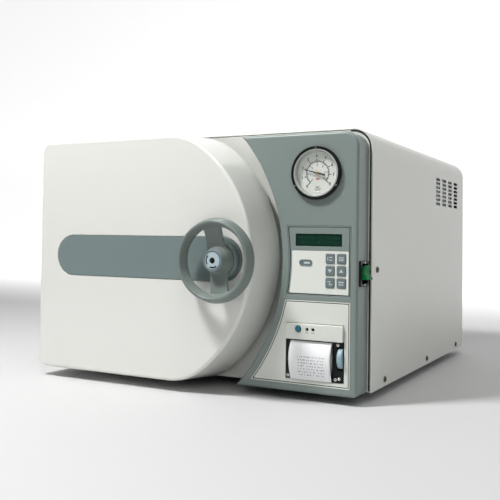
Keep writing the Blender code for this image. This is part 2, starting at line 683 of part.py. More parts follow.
def printer():
    """The small panel printer: its cover panel, head, cradle, paper roll and the strip hanging out."""
    front = FASCIA_FACE
    (hx0, hx1), (hz0, hz1), (cz0, cz1) = HEAD_X, HEAD_Z, CRADLE_Z
    slack = 0.0005
    opening = rectangle(hx0 - slack, hx1 + slack, cz0 - slack, hz1 + slack)
    plate("printer_panel", [panel_edge(PRINTER_Z), opening], front - 0.0002, front + 0.0028, cream_plastic())
    head = box("printer_head", (hx0, front - 0.0040, hz0), (hx1, front + 0.020, hz1), cream_plastic())
    button_x, button_z = RIGHT - 0.0840, BOTTOM + 0.0803
    cut(head, rod("button_hole", (button_x, front - 0.01, button_z), (button_x, front + 0.006, button_z),
                  0.0043, cream_plastic()))
    button = rod("feed_button", (0.0, -0.0055, 0.0), (0.0, 0.0030, 0.0), 0.0040,
                 material("teal_plastic", (0.02, 0.20, 0.25), 0.4))
    button.location = (button_x, front, button_z)
    cradle = box("printer_cradle", (hx0, front - 0.0002, cz0), (hx1, front + 0.0460, cz1), black_plastic())
    pocket = box("paper_pocket", (PAPER_X[0] - 0.0002, front - 0.01, cz0 + 0.0018),
                 (PAPER_X[1] + 0.0002, front + 0.0440, cz1 - 0.0018), black_plastic())
    x0, x1, radius = FEED_KNOB
    slot = box("knob_slot", (x0 - 0.0008, front - 0.01, FEED_KNOB_Z - radius - 0.001),
               (hx1 + 0.01, FEED_KNOB_Y + radius + 0.001, FEED_KNOB_Z + radius + 0.001), black_plastic())
    cut(cradle, pocket, slot)
    knob_plastic = material("knob_plastic", (0.45, 0.60, 0.65), 0.4)
    rod("feed_knob", (x0, FEED_KNOB_Y, FEED_KNOB_Z), (x1, FEED_KNOB_Y, FEED_KNOB_Z), radius, knob_plastic, 24)
    paper = material("paper", (0.88, 0.88, 0.86), 0.7)
    roll_y, roll_z = front + 0.0225, (cz0 + cz1) / 2
    rod("paper_roll", (PAPER_X[0] + 0.0006, roll_y, roll_z), (PAPER_X[1] - 0.0006, roll_y, roll_z), ROLL_RADIUS,
        paper, 24)
    paper_strip(paper)


def paper_strip(paper):
    """The printed strip: it leaves the head, bows forwards and hangs down in front of the roll."""
    top, bottom = CRADLE_Z[1] - 0.0021, CRADLE_Z[0] + 0.0012
    thickness = 0.0006
    count = 9
    outer, inner = [], []
    for i in range(count):
        t = i / (count - 1)
        z = top + t * (bottom - top)
        y = FASCIA_FACE + 0.0012 - 0.0075 * math.sin(math.pi * t ** 0.8) - 0.0030 * t
        outer.append((y, z))
        inner.append((y + thickness, z))
    loop = outer + inner[::-1]
    sections = [[Vector((x, y, z)) for y, z in loop] for x in PAPER_X]
    return loft("paper_strip", sections, paper)


def power_switch():
    """The bezel and rocker of the mains switch, on the fascia's right side."""
    (y0, y1), (z0, z1) = SWITCH_Y, SWITCH_Z
    x = FASCIA_RIGHT
    bezel = box("switch_bezel", (x + GAP, y0, z0), (x + 0.0026, y1, z1), black_plastic())
    body = box("switch_body", (x - 0.0200, y0 + 0.0030, z0 + 0.0030), (x + 0.0020, y1 - 0.0030, z1 - 0.0030),
               black_plastic())
    well = box("switch_well", (x - 0.0170, y0 + 0.0045, z0 + 0.0045), (x + 0.0100, y1 - 0.0045, z1 - 0.0045),
               black_plastic())
    cut(join(bezel, body), well)
    pivot_x, pivot_z = x - 0.0040, (z0 + z1) / 2
    half = (z1 - z0) / 2 - 0.0068
    face = RIGHT + ROCKER_PROUD - pivot_x
    section = [(-0.0030, -half * 0.8), (face * 0.80, -half), (face * 0.62, 0.0), (face * 0.80, half),
               (-0.0030, half * 0.8)]
    tilt = Matrix.Rotation(ROCKER_TILT, 2)
    turned_section = [tilt @ Vector(p) for p in section]
    stretch = face / max(p.x for p in turned_section)
    sides = [[Vector((p.x * stretch, y, p.y)) for p in turned_section]
             for y in (y0 + 0.0048 - (y0 + y1) / 2, (y1 - y0) / 2 - 0.0048)]
    rocker = loft("switch_rocker", sides, material("rocker_green", (0.0, 0.12, 0.03), 0.25))
    rocker.location = (pivot_x, (y0 + y1) / 2, pivot_z)


# ---- Inside --------------------------------------------------------------------------------------
def partition_wall():
    """The sheet between the chamber and the services, which carries the board and the valve."""
    x = RIGHT - 0.1745
    return box("partition_wall", (x - SHEET / 2, FRONT + 0.030, BOTTOM + SHEET + GAP),
               (x + SHEET / 2, BACK - 0.010, TOP - 0.012), steel())


def control_board():
    x = RIGHT - 0.1660
    board = box("control_board", (x, FRONT + 0.050, BOTTOM + 0.150), (x + 0.002, FRONT + 0.250, BOTTOM + 0.310),
                material("board_green", (0.02, 0.18, 0.06), 0.4))
    parts = []
    for label, y, z, high in (("relay_a", 0.080, 0.180, 0.016), ("relay_b", 0.120, 0.180, 0.016),
                              ("supply", 0.200, 0.200, 0.024), ("chip", 0.110, 0.260, 0.005)):
        parts.append(box(label, (x + 0.001, FRONT + y - 0.013, BOTTOM + z - 0.013),
                         (x + high, FRONT + y + 0.013, BOTTOM + z + 0.013), black_plastic()))
    return join(board, *parts)


def water_tank():
    """The clean-water tank, with its filling neck open at the top."""
    low = (RIGHT - 0.160, FRONT + 0.300, BOTTOM + 0.205)
    high = (RIGHT - 0.012, FRONT + 0.490, BOTTOM + 0.315)
    wall = 0.0025
    tank = box("water_tank", low, high, material("tank_plastic", (0.75, 0.78, 0.80), 0.4))
    hollow = box("tank_hollow", [a + wall for a in low], [b - wall for b in high], white_paint())
    x, y = (low[0] + high[0]) / 2, (low[1] + high[1]) / 2
    neck = rod("tank_neck", (x, y, high[2] - 0.02), (x, y, high[2] + 0.02), 0.030, white_paint())
    return cut(tank, hollow, neck)


def pumps_and_valve():
    """The vacuum pump, the water pump and the exhaust valve."""
    floor = BOTTOM + SHEET + GAP
    cast = material("cast_aluminium", (0.55, 0.55, 0.55), 0.5, 1.0)
    x, y = RIGHT - 0.110, FRONT + 0.400
    pump = box("vacuum_pump", (x - 0.035, y - 0.030, floor), (x + 0.035, y + 0.020, floor + 0.085), cast)
    join(pump, rod("pump_motor", (x, y + 0.015, floor + 0.045), (x, y + 0.075, floor + 0.045), 0.033, cast, 24))
    y = FRONT + 0.290
    feed = box("water_pump", (x - 0.025, y - 0.030, floor), (x + 0.025, y + 0.010, floor + 0.050), cast)
    join(feed, rod("feed_motor", (x, y + 0.005, floor + 0.026), (x, y + 0.045, floor + 0.026), 0.020, cast))
    x, y, z = RIGHT - 0.1732, FRONT + 0.290, BOTTOM + 0.120
    valve = box("exhaust_valve", (x, y - 0.018, z - 0.014), (x + 0.028, y + 0.018, z + 0.014),
                material("brass", (0.70, 0.52, 0.22), 0.3, 1.0))
    join(valve, rod("valve_coil", (x + 0.014, y, z + 0.010), (x + 0.014, y, z + 0.050), 0.013, black_plastic()))


def transformer():
    floor = BOTTOM + SHEET + GAP
    x, y = RIGHT - 0.115, FRONT + 0.150
    core = box("transformer", (x - 0.030, y - 0.035, floor), (x + 0.030, y + 0.035, floor + 0.070),
               material("core_steel", (0.25, 0.25, 0.26), 0.5, 1.0))
    coil = box("transformer_coil", (x - 0.040, y - 0.022, floor + 0.012), (x + 0.040, y + 0.022, floor + 0.058),
               black_plastic())
    return join(core, coil)


def condenser_and_fan():
    """The steam condenser's fin block, and the fan that blows through it out of the back."""
    x, z = FAN_CENTRE
    half = 0.046
    box("condenser", (x - half, BACK - 0.075, z - half), (x + half, BACK - 0.035, z + half),
        material("fin_aluminium", (0.70, 0.70, 0.70), 0.4, 1.0))
    housing = box("fan_housing", (x - half, BACK - 0.028, z - half), (x + half, BACK - 0.0030, z + half),
                  black_plastic())
    cut(housing, rod("fan_duct", (x, BACK - 0.05, z), (x, BACK + 0.02, z), FAN_RADIUS, black_plastic(), 32))
    rotor = rod("fan_rotor", (0.0, -0.010, 0.0), (0.0, 0.008, 0.0), 0.018, black_plastic())
    rotor.location = (x, BACK - 0.0155, z)
    blades = bmesh.new()
    for turn in range(7):
        place = (Matrix.Rotation(math.tau * turn / 7, 4, "Y") @ Matrix.Translation((0.0, 0.0, 0.0275))
                 @ Matrix.Rotation(math.radians(35), 4, "Z") @ Matrix.Diagonal((0.016, 0.0015, 0.025, 1.0)))
        bmesh.ops.create_cube(blades, size=1.0, matrix=place)
    mesh = bpy.data.meshes.new("fan_blades")
    blades.to_mesh(mesh)
    blades.free()
    fan = finish("fan_blades", mesh, black_plastic())
    fan.location = rotor.location
    return join(rotor, fan)


def mains_inlet():
    """The appliance inlet in the back panel, with its earth and line pins left to a finer model."""
    x, z = INLET_CENTRE
    flange = box("mains_inlet", (x - 0.020, BACK - 0.0004, z - 0.016), (x + 0.020, BACK + REAR_PROUD, z + 0.016),
                 black_plastic())
    body = box("inlet_body", (x - 0.0138, BACK - 0.0300, z - 0.0113), (x + 0.0138, BACK + 0.0020, z + 0.0113),
               black_plastic())
    socket = box("inlet_socket", (x - 0.0118, BACK - 0.0160, z - 0.0085), (x + 0.0118, BACK + 0.0200, z + 0.0085),
                 black_plastic())
    return cut(join(flange, body), socket)


def build():
    casing_cover()
    base_tray()
    rear_panel()
    front_plate()
    keeper_plate()
    feet()
    chamber_vessel()
    chamber_rings()
    chamber_cradle("chamber_cradle_front", FRONT + 0.0180)
    chamber_cradle("chamber_cradle_rear", FRONT + 0.3350)
    safety_valve()
    door_cover()
    door_band()
    wheel_boss()
    hinge()
    door_bar()
    door_disc()
    handwheel()
    latch_spindle()
    control_fascia()
    keypad_panel()
    lcd_module()
    keys()
    gauge()
    printer()
    power_switch()
    partition_wall()
    control_board()
    water_tank()
    pumps_and_valve()
    transformer()
    condenser_and_fan()
    mains_inlet()


clear_scene()
PARTS = new_collection("benchtop_autoclave")
CUTTERS = new_collection("cutters")
build()
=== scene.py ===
# %% [markdown]
# # Dressing a benchtop autoclave
# The CAD frame already has every part at its true size and in its true place. This file gives the visible
# parts their fine surfaces: rounded edges, grooves, grips, printed scales and real finishes. We load the
# frame first, and read all the places that we need from its parts, so nothing has to be fitted by eye.

# %% Load the frame
import math

import bmesh
import bpy
import numpy as np
from mathutils import Matrix, Vector
from mathutils.geometry import tessellate_polygon


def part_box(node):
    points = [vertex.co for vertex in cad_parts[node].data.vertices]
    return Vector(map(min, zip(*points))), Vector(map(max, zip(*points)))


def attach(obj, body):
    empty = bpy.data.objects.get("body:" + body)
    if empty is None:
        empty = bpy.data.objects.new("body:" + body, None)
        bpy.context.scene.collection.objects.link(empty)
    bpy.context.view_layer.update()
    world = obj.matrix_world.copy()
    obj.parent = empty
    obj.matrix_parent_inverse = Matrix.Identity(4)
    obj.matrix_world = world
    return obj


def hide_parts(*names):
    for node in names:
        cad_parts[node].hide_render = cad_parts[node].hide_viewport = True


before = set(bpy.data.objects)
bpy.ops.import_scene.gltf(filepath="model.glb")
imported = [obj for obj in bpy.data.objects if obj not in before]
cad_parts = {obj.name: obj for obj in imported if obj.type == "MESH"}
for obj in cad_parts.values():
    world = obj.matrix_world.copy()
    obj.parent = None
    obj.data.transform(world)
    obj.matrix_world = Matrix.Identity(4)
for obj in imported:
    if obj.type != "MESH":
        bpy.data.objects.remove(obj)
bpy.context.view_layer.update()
LEFT, FRONT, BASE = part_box("casing_cover")[0]
RIGHT, BACK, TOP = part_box("casing_cover")[1]
MM = 0.001
print(f"casing {1000 * (RIGHT - LEFT):.0f} x {1000 * (BACK - FRONT):.0f} x {1000 * (TOP - BASE):.0f} mm")

# %% [markdown]
# ## A camera in front of the controls
# The object is seen from a little right of the controls and from just above the wheel's height, with the lens
# shifted so that upright edges stay upright. A camera is a place and three directions, so we work the
# directions out from a heading, a small upward tilt and a small roll.

# %% Camera
def aim_camera(place, heading, tilt, roll, lens, shift):
    """Forward is (-sin h cos t, cos h cos t, sin t); right and up follow from it, turned by the roll."""
    h, t, r = np.radians([heading, tilt, roll])
    forward = np.array([-np.sin(h) * np.cos(t), np.cos(h) * np.cos(t), np.sin(t)])
    level = np.array([np.cos(h), np.sin(h), 0.0])
    lift = np.cross(level, forward)
    right = level * np.cos(r) - lift * np.sin(r)
    up = level * np.sin(r) + lift * np.cos(r)
    camera = bpy.data.objects.new("camera", bpy.data.cameras.new("camera"))
    camera.data.lens, camera.data.sensor_width = lens, 36.0
    camera.data.shift_x, camera.data.shift_y = shift
    camera.matrix_world = Matrix([[*row, p] for row, p in zip(np.c_[right, up, -forward], place)]
                                 + [[0, 0, 0, 1]])
    bpy.context.scene.collection.objects.link(camera)
    bpy.context.scene.camera = camera


EYE = (RIGHT + 0.3240, FRONT - 0.9342, BASE + 0.1959)
aim_camera(EYE, heading=28.07, tilt=2.12, roll=-0.855, lens=54.6, shift=(-0.0066, -0.080))
print("camera at", [round(part, 3) for part in EYE])

# %% [markdown]
# ## Soft light on a pale sweep
# White enamel looks best under soft lamps. The main one hangs high in front of the door and to its left, so
# the handwheel throws a soft shadow down and to the right. A larger one at the front right keeps the casing's
# side from going dark, a broad one overhead lifts the upper edges, and a dim surround fills the rest. An area
# lamp is a square of light: the larger it is, the softer its shadows.

# %% Lamps and surround
def lamp(name, place, target, size, power):
    """A square area lamp at a place, facing a target; the power is in watts."""
    light = bpy.data.lights.new(name, "AREA")
    light.energy, light.size = power, size
    holder = bpy.data.objects.new(name, light)
    holder.location = place
    holder.rotation_euler = (Vector(target) - Vector(place)).to_track_quat("-Z", "Y").to_euler()
    bpy.context.scene.collection.objects.link(holder)


def surround(strength):
    """An even pale light from every direction."""
    world = bpy.data.worlds.new("surround")
    world.use_nodes = True
    sky = world.node_tree.nodes["Background"]
    sky.inputs["Color"].default_value = (0.985, 1.0, 0.985, 1.0)
    sky.inputs["Strength"].default_value = strength
    bpy.context.scene.world = world


MIDDLE = ((LEFT + RIGHT) / 2, FRONT, (BASE + TOP) / 2)
LAMPS = {"key": ((-0.42, -0.90, 1.50), 0.25, 26), "fill": ((1.5, -1.9, 1.3), 1.0, 5),
         "top": ((0.5, -0.95, 2.1), 0.8, 9)}
for name, (place, size, power) in LAMPS.items():
    lamp(name, place, MIDDLE, size, power)
surround(0.12)
bpy.context.scene.view_settings.view_transform = "Standard"
print("lamps:", ", ".join(LAMPS))

# %% [markdown]
# ## Finishes
# Every finish is a small graph of nodes. Object coordinates are in metres here, because each piece sits at
# the origin unscaled, so a noise scale of 900 means grains about a millimetre across. One helper mixes two
# near shades with a slow noise, varies the gloss with another, and raises a fine grain with a third. Each
# named finish then only says what is its own.

# %% Finish helper
def finish(name, light, dark, gloss=(0.3, 0.4), grain=(900.0, 0.02), cloud=9.0, metallic=0.0, **sockets):
    """Mixes dark to light by a slow cloud noise; roughness runs over gloss; grain is (scale, depth in mm)."""
    made = bpy.data.materials.new(name)
    made.use_nodes = True
    tree = made.node_tree
    shader = tree.nodes["Principled BSDF"]
    place = tree.nodes.new("ShaderNodeTexCoord").outputs["Object"]

    def noise(scale, detail):
        node = tree.nodes.new("ShaderNodeTexNoise")
        node.inputs["Scale"].default_value = scale
        node.inputs["Detail"].default_value = detail
        tree.links.new(place, node.inputs["Vector"])
        return node.outputs["Fac"]

    mix = tree.nodes.new("ShaderNodeMix")
    mix.data_type = "RGBA"
    mix.inputs["A"].default_value = (*dark, 1.0)
    mix.inputs["B"].default_value = (*light, 1.0)
    tree.links.new(noise(cloud, 4.0), mix.inputs["Factor"])
    tree.links.new(mix.outputs["Result"], shader.inputs["Base Color"])
    spread = tree.nodes.new("ShaderNodeMapRange")
    spread.inputs["To Min"].default_value, spread.inputs["To Max"].default_value = gloss
    tree.links.new(noise(cloud * 6, 3.0), spread.inputs["Value"])
    tree.links.new(spread.outputs["Result"], shader.inputs["Roughness"])
    bump = tree.nodes.new("ShaderNodeBump")
    bump.inputs["Strength"].default_value = 1.0
    bump.inputs["Distance"].default_value = grain[1] * MM
    tree.links.new(noise(grain[0], 2.0), bump.inputs["Height"])
    tree.links.new(bump.outputs["Normal"], shader.inputs["Normal"])
    shader.inputs["Metallic"].default_value = metallic
    for socket, value in sockets.items():
        shader.inputs[socket.replace("_", " ")].default_value = value
    return made


# %% Paints and plastics
ENAMEL = finish("white_enamel", (0.725, 0.738, 0.690), (0.708, 0.721, 0.673), (0.33, 0.39), (1100, 0.010), 4)
DOOR_WHITE = finish("door_white", (0.792, 0.796, 0.755), (0.782, 0.786, 0.745), (0.27, 0.31), (700, 0.006), 3,
                    Coat_Weight=1.0, Coat_Roughness=0.10)
GREY = finish("grey_moulding", (0.225, 0.272, 0.256), (0.205, 0.250, 0.236), (0.36, 0.46), (2200, 0.020), 11)
BAND_GREY = finish("band_grey", (0.190, 0.245, 0.240), (0.172, 0.224, 0.220), (0.30, 0.38), (1800, 0.012), 14)
WHEEL_GREY = finish("wheel_grey", (0.190, 0.226, 0.210), (0.166, 0.200, 0.186), (0.32, 0.44), (1600, 0.020), 18)
CREAM = finish("cream_moulding", (0.720, 0.745, 0.690), (0.690, 0.716, 0.662), (0.36, 0.45), (2000, 0.016), 12)
KEY_WHITE = finish("overlay_white", (0.770, 0.795, 0.740), (0.740, 0.765, 0.712), (0.30, 0.38),
                   (2600, 0.010), 16)
KEY_GREY = finish("key_grey", (0.150, 0.195, 0.200), (0.130, 0.170, 0.178), (0.34, 0.42), (2600, 0.012), 30)
SATIN = finish("satin_white", (0.42, 0.44, 0.41), (0.37, 0.39, 0.36), (0.30, 0.40), (2000, 0.005), 30)
SCREW_GREY = finish("screw_grey", (0.15, 0.14, 0.11), (0.08, 0.08, 0.065), (0.30, 0.42), (900, 0.02), 90, 0.8)
BLACK = finish("black_moulding", (0.006, 0.008, 0.007), (0.004, 0.005, 0.005), (0.34, 0.46), (1900, 0.015), 20,
                Specular_IOR_Level=0.25)
TEAL = finish("teal_button", (0.02, 0.17, 0.22), (0.015, 0.13, 0.18), (0.22, 0.30), (2000, 0.01), 40)
KNOB_BLUE = finish("knob_blue_grey", (0.330, 0.470, 0.520), (0.290, 0.420, 0.470), (0.34, 0.44),
                   (2000, 0.02), 40)
ROCKER_GREEN = finish("rocker_green", (0.003, 0.190, 0.050), (0.002, 0.165, 0.042), (0.52, 0.60),
                      (900, 0.004), 30, Specular_IOR_Level=0.12)
RUBBER = finish("foot_rubber", (0.014, 0.015, 0.015), (0.008, 0.009, 0.009), (0.65, 0.80), (1500, 0.05), 25,
                Specular_IOR_Level=0.25)
SILICONE = finish("gasket_silicone", (0.62, 0.60, 0.56), (0.56, 0.54, 0.50), (0.48, 0.58), (1200, 0.02), 25)
INK = finish("ink_black", (0.010, 0.010, 0.012), (0.006, 0.006, 0.008), (0.45, 0.55), (3000, 0.003), 60,
             Specular_IOR_Level=0.2)
RED_INK = finish("ink_red", (0.55, 0.03, 0.02), (0.45, 0.02, 0.015), (0.45, 0.55), (3000, 0.003), 60)
DIAL_WHITE = finish("dial_white", (0.78, 0.80, 0.75), (0.75, 0.77, 0.72), (0.42, 0.50), (2500, 0.004), 30)
WOOL = finish("glass_wool", (0.66, 0.62, 0.50), (0.50, 0.46, 0.36), (0.85, 0.95), (260, 0.8), 30)
TANK = finish("tank_plastic", (0.66, 0.70, 0.72), (0.60, 0.64, 0.67), (0.35, 0.45), (900, 0.02), 12,
              Transmission_Weight=0.2)
BOARD = finish("circuit_board", (0.02, 0.16, 0.05), (0.012, 0.11, 0.035), (0.28, 0.38), (1400, 0.03), 60)

# %% Metals
STEEL = finish("polished_stainless", (0.66, 0.65, 0.63), (0.58, 0.57, 0.55), (0.16, 0.28), (500, 0.01), 22, 1.0)
ZINC = finish("zinc_plated_sheet", (0.56, 0.57, 0.57), (0.46, 0.47, 0.48), (0.30, 0.46), (350, 0.03), 38, 1.0)
CHROME = finish("chrome", (0.72, 0.73, 0.74), (0.66, 0.67, 0.68), (0.07, 0.13), (800, 0.003), 40, 1.0)
DARK_STEEL = finish("blued_steel", (0.20, 0.20, 0.21), (0.13, 0.13, 0.14), (0.30, 0.44), (700, 0.02), 45, 1.0)
BRASS = finish("brass", (0.62, 0.44, 0.17), (0.52, 0.36, 0.13), (0.22, 0.34), (700, 0.01), 40, 1.0)
CAST = finish("cast_aluminium", (0.52, 0.52, 0.52), (0.43, 0.43, 0.44), (0.42, 0.58), (420, 0.10), 30, 1.0)
print("finishes so far:", len([made for made in bpy.data.materials if made.use_nodes]))

# %% [markdown]
# ## Surfaces from grids
# Nearly every piece here is a stack of rings: an outline that is moved in depth and pulled in a little at
# each step to round an edge. A ring is an array of points, a stack of rings is a grid, and a grid becomes
# quads by index arithmetic alone. Flat faces, which may have holes, are filled between rings. `Skin` keeps
# the growing lists, so that one closed mesh can be put together from several grids and fills.

# %% The skin
class Skin:
    """Grids of points and the faces between them, gathered into one mesh."""

    def __init__(self):
        self.points, self.faces = [], []

    def add(self, points):
        """Takes an array of shape (..., 3) and returns the indices of its points, in the same shape."""
        points = np.asarray(points, float)
        start = sum(len(part) for part in self.points)
        self.points.append(points.reshape(-1, 3))
        return start + np.arange(points[..., 0].size).reshape(points.shape[:-1])

    def grid(self, points, closed=True, leave_out=()):
        """Joins each row to the next with quads; closed also joins the last column to the first."""
        index = self.add(points)
        after = np.roll(index, -1, axis=1) if closed else index[:, 1:]
        here = index if closed else index[:, :-1]
        quads = np.stack([here[:-1], after[:-1], after[1:], here[1:]], axis=-1)
        keep = np.ones(quads.shape[:2], bool)
        for row, column in leave_out:
            keep[row, column] = False
        self.faces += quads[keep].tolist()
        return index

    def fill(self, edge, *holes):
        """Fills a flat region between the indices of its edge and of its holes."""
        cloud = np.concatenate(self.points)
        loops = [np.asarray(loop) for loop in (edge, *holes)]
        flat = np.concatenate(loops)
        corners = tessellate_polygon([[Vector(cloud[i]) for i in loop] for loop in loops])
        self.faces += [[int(flat[i]) for i in corner] for corner in corners]

    def capped(self, points):
        """A grid whose first and last rows are filled, which makes a closed bar."""
        index = self.grid(points)
        self.fill(index[0])
        self.fill(index[-1])

    def carry(self, outline, place, steps, hole=False):
        """Carries an outline through (inset, depth) steps; a hole grows by what an outline is pulled in."""
        sign = -1.0 if hole else 1.0
        return self.grid(np.stack([place(outline(sign * inset), depth) for inset, depth in steps]))

    def fan(self, loop, tip):
        """Closes a round end with triangles that meet in one point."""
        top = int(self.add(np.array([tip]))[0])
        self.faces += [[int(a), int(b), top] for a, b in zip(loop, np.roll(loop, -1))]


def piece(name, skin, coat, body="root", stands_for=(), weighted=True, creases=None):
    """Makes the skin an object with its faces outwards, smooth shading and its place in the assembly."""
    mesh = bpy.data.meshes.new(name)
    mesh.from_pydata(np.concatenate(skin.points).tolist(), [], skin.faces)
    form = bmesh.new()
    form.from_mesh(mesh)
    bmesh.ops.remove_doubles(form, verts=form.verts, dist=1e-7)
    bmesh.ops.recalc_face_normals(form, faces=form.faces)
    form.to_mesh(mesh)
    form.free()
    return settle(name, mesh, coat, body, stands_for, weighted, creases)


def settle(name, mesh, coat, body="root", stands_for=(), weighted=True, creases=None):
    """Names a finished mesh, coats it, lets it ride on its body and hides the CAD parts that it stands for."""
    mesh.shade_smooth()
    if creases is not None:
        mesh.set_sharp_from_angle(angle=math.radians(creases))
    made = bpy.data.objects.new(name, mesh)
    bpy.context.scene.collection.objects.link(made)
    mesh.materials.clear()
    mesh.materials.append(coat)
    if weighted:
        modifier = made.modifiers.new("flat faces stay flat", "WEIGHTED_NORMAL")
        modifier.keep_sharp = True
    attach(made, body)
    if stands_for:
        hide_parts(*stands_for)
    return made


# %% Outlines
def arc(cx, cz, radius, start, end, count):
    """Points on a circle of that centre and radius, from one angle in degrees to another."""
    turn = np.radians(np.linspace(start, end, count))
    return np.c_[cx + radius * np.cos(turn), cz + radius * np.sin(turn)]


def rounded_box(x0, x1, z0, z1, radius, steps=7):
    """Returns outline(inset): four quarter circles whose centres are the box pulled in by the radius."""
    def outline(inset=0.0):
        a0, a1, b0, b1 = x0 + inset, x1 - inset, z0 + inset, z1 - inset
        r = min(max(radius - inset, 0.02 * MM), 0.499 * min(a1 - a0, b1 - b0))
        centres = ((a1 - r, b1 - r), (a0 + r, b1 - r), (a0 + r, b0 + r), (a1 - r, b0 + r))
        return np.concatenate([arc(x, z, r, start, start + 90, steps)
                               for (x, z), start in zip(centres, (0, 90, 180, 270))])
    return outline


def box_round(node, grow, radius, steps=7):
    """The rounded outline of a CAD part's box, as the front shows it, grown all round."""
    low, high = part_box(node)
    return rounded_box(low.x - grow, high.x + grow, low.z - grow, high.z + grow, radius, steps)


def round_about(x, z, half_x, half_z, radius, steps=7):
    """A rounded outline from its middle and its half sizes."""
    return rounded_box(x - half_x, x + half_x, z - half_z, z + half_z, radius, steps)


def round_outline(cx, cz, radius, count=64):
    """Returns outline(inset): a circle whose radius is less by the inset."""
    return lambda inset=0.0: arc(cx, cz, radius - inset, 0, 360 * (1 - 1 / count), count)


def quarter(edge, steps=4):
    """Insets and depths of a quarter-round edge, from the face to the side: e(1 - sin t) and e(1 - cos t)."""
    turn = np.linspace(0, np.pi / 2, steps + 1)
    return edge * (1 - np.sin(turn)), edge * (1 - np.cos(turn))


def soft_edge(edge, steps, *rest):
    """The (inset, depth) steps of a quarter-round edge, and then the steps that follow it."""
    return [*zip(*quarter(edge, steps)), *rest]


def bend(start, tip, end, steps):
    """A curve that leaves start towards tip and reaches end: (1 - t)^2 a + 2 t (1 - t) b + t^2 c."""
    t = np.linspace(0, 1, steps + 1)[:, None]
    return (1 - t) ** 2 * start + 2 * t * (1 - t) * tip + t ** 2 * end


def facing_front(y):
    """Places (x, z) outlines on planes that run back from y."""
    return lambda flat, depth: np.c_[flat[:, 0], np.full(len(flat), y + depth), flat[:, 1]]


def facing_right(x):
    """Places (y, z) outlines on planes that run inwards from x, for a side that looks along +X."""
    return lambda flat, depth: np.c_[np.full(len(flat), x - depth), flat[:, 0], flat[:, 1]]


def facing_back(y):
    """Places (x, z) outlines on planes that run forwards from y, for a face that looks to the back."""
    return lambda flat, depth: np.c_[flat[:, 0], np.full(len(flat), y - depth), flat[:, 1]]


def slab(outline, holes, place, depth, edge=0.4 * MM, back_edge=0.15 * MM, skin=None):
    """A plate with a rounded front edge: rings at the quarter-round's insets, then filled front and back."""
    skin = skin or Skin()
    behind = [(inset, depth - down) for inset, down in soft_edge(back_edge, 2)][::-1]
    steps = soft_edge(edge, 4, *behind)
    rings = [skin.carry(outline, place, steps)] + [skin.carry(hole, place, steps, hole=True) for hole in holes]
    skin.fill(*[ring[0] for ring in rings])
    skin.fill(*[ring[-1] for ring in rings])
    return skin


# %% Turned parts
def soften(profile, radius, steps=4):
    """Rounds each inner corner of a profile: the corner becomes a curve between points a radius away."""
    profile = np.asarray(profile, float)
    rows = [profile[:1]]
    for before, corner, after in zip(profile, profile[1:], profile[2:]):
        cut = min(radius, 0.45 * np.linalg.norm(corner - before), 0.45 * np.linalg.norm(after - corner))
        start = corner + cut * (before - corner) / np.linalg.norm(before - corner)
        end = corner + cut * (after - corner) / np.linalg.norm(after - corner)
        rows.append(bend(start, corner, end, steps))
    rows.append(profile[-1:])
    return np.concatenate(rows)


def square_to(axis):
    """Three directions square to each other: u, v and the axis w."""
    w = np.asarray(axis, float)
    u = np.cross(w, [0.0, 0.0, 1.0]) if abs(w[2]) < 0.9 else np.array([1.0, 0.0, 0.0])
    return u, np.cross(w, u), w


def turned(profile, centre, axis, steps=96, skin=None, ring=False):
    """Turns (radius, height) points about an axis: centre + r (cos a u + sin a v) + h w."""
    skin = skin or Skin()
    u, v, w = square_to(axis)
    a = np.radians(np.linspace(0, 360, steps, endpoint=False))[None, :, None]
    profile = np.asarray(profile, float)
    if ring:
        profile = np.concatenate([profile, profile[:1]])
    body = profile[profile[:, 0] > 1e-6] if not ring else profile
    r, h = body[:, 0][:, None, None], body[:, 1][:, None, None]
    index = skin.grid(np.asarray(centre) + r * (np.cos(a) * u + np.sin(a) * v) + h * w)
    for end, row in ((profile[0], index[0]), (profile[-1], index[-1])):
        if end[0] <= 1e-6:
            skin.fan(row, np.asarray(centre) + end[1] * w)
    return skin


TO_FRONT = (0.0, -1.0, 0.0)
TO_BACK = (0.0, 1.0, 0.0)
TO_RIGHT = (1.0, 0.0, 0.0)

# %% [markdown]
# ## The casing
# The cover is one sheet, bent down over both sides, with louvre slots near the back. We carry the arch-shaped
# section of the sheet along its depth as a grid. In the flat of each side one quad is left out, and filled
# again around the slots, so the holes are real and light falls through them.

# %% Casing cover
SHEET = 2.0 * MM
CORNER = 28.0 * MM
SLOT = (27 * MM, 4.7 * MM)
SLOT_START = (FRONT + 331 * MM, BASE + 298.5 * MM)
SLOT_STEP = (41 * MM, 6.8 * MM)
SLOT_COLUMNS, SLOT_ROWS = 4, 7
SLOT_LIP = 0.15 * MM


def arch(inset, low, bends):
    """Up the right side, over the top by two bends and down the left side, all pulled in by the inset."""
    return np.concatenate([[[RIGHT - inset, low]],
                           arc(RIGHT - CORNER, TOP - CORNER, CORNER - inset, 0, 90, bends),
                           arc(LEFT + CORNER, TOP - CORNER, CORNER - inset, 90, 180, bends),
                           [[LEFT + inset, low]]])


def arch_section(inset):
    """The sheet seen from the front: the outer path over the top, and the inner path back."""
    return np.concatenate([arch(inset, BASE, 24), arch(SHEET - inset, BASE, 24)[::-1]])


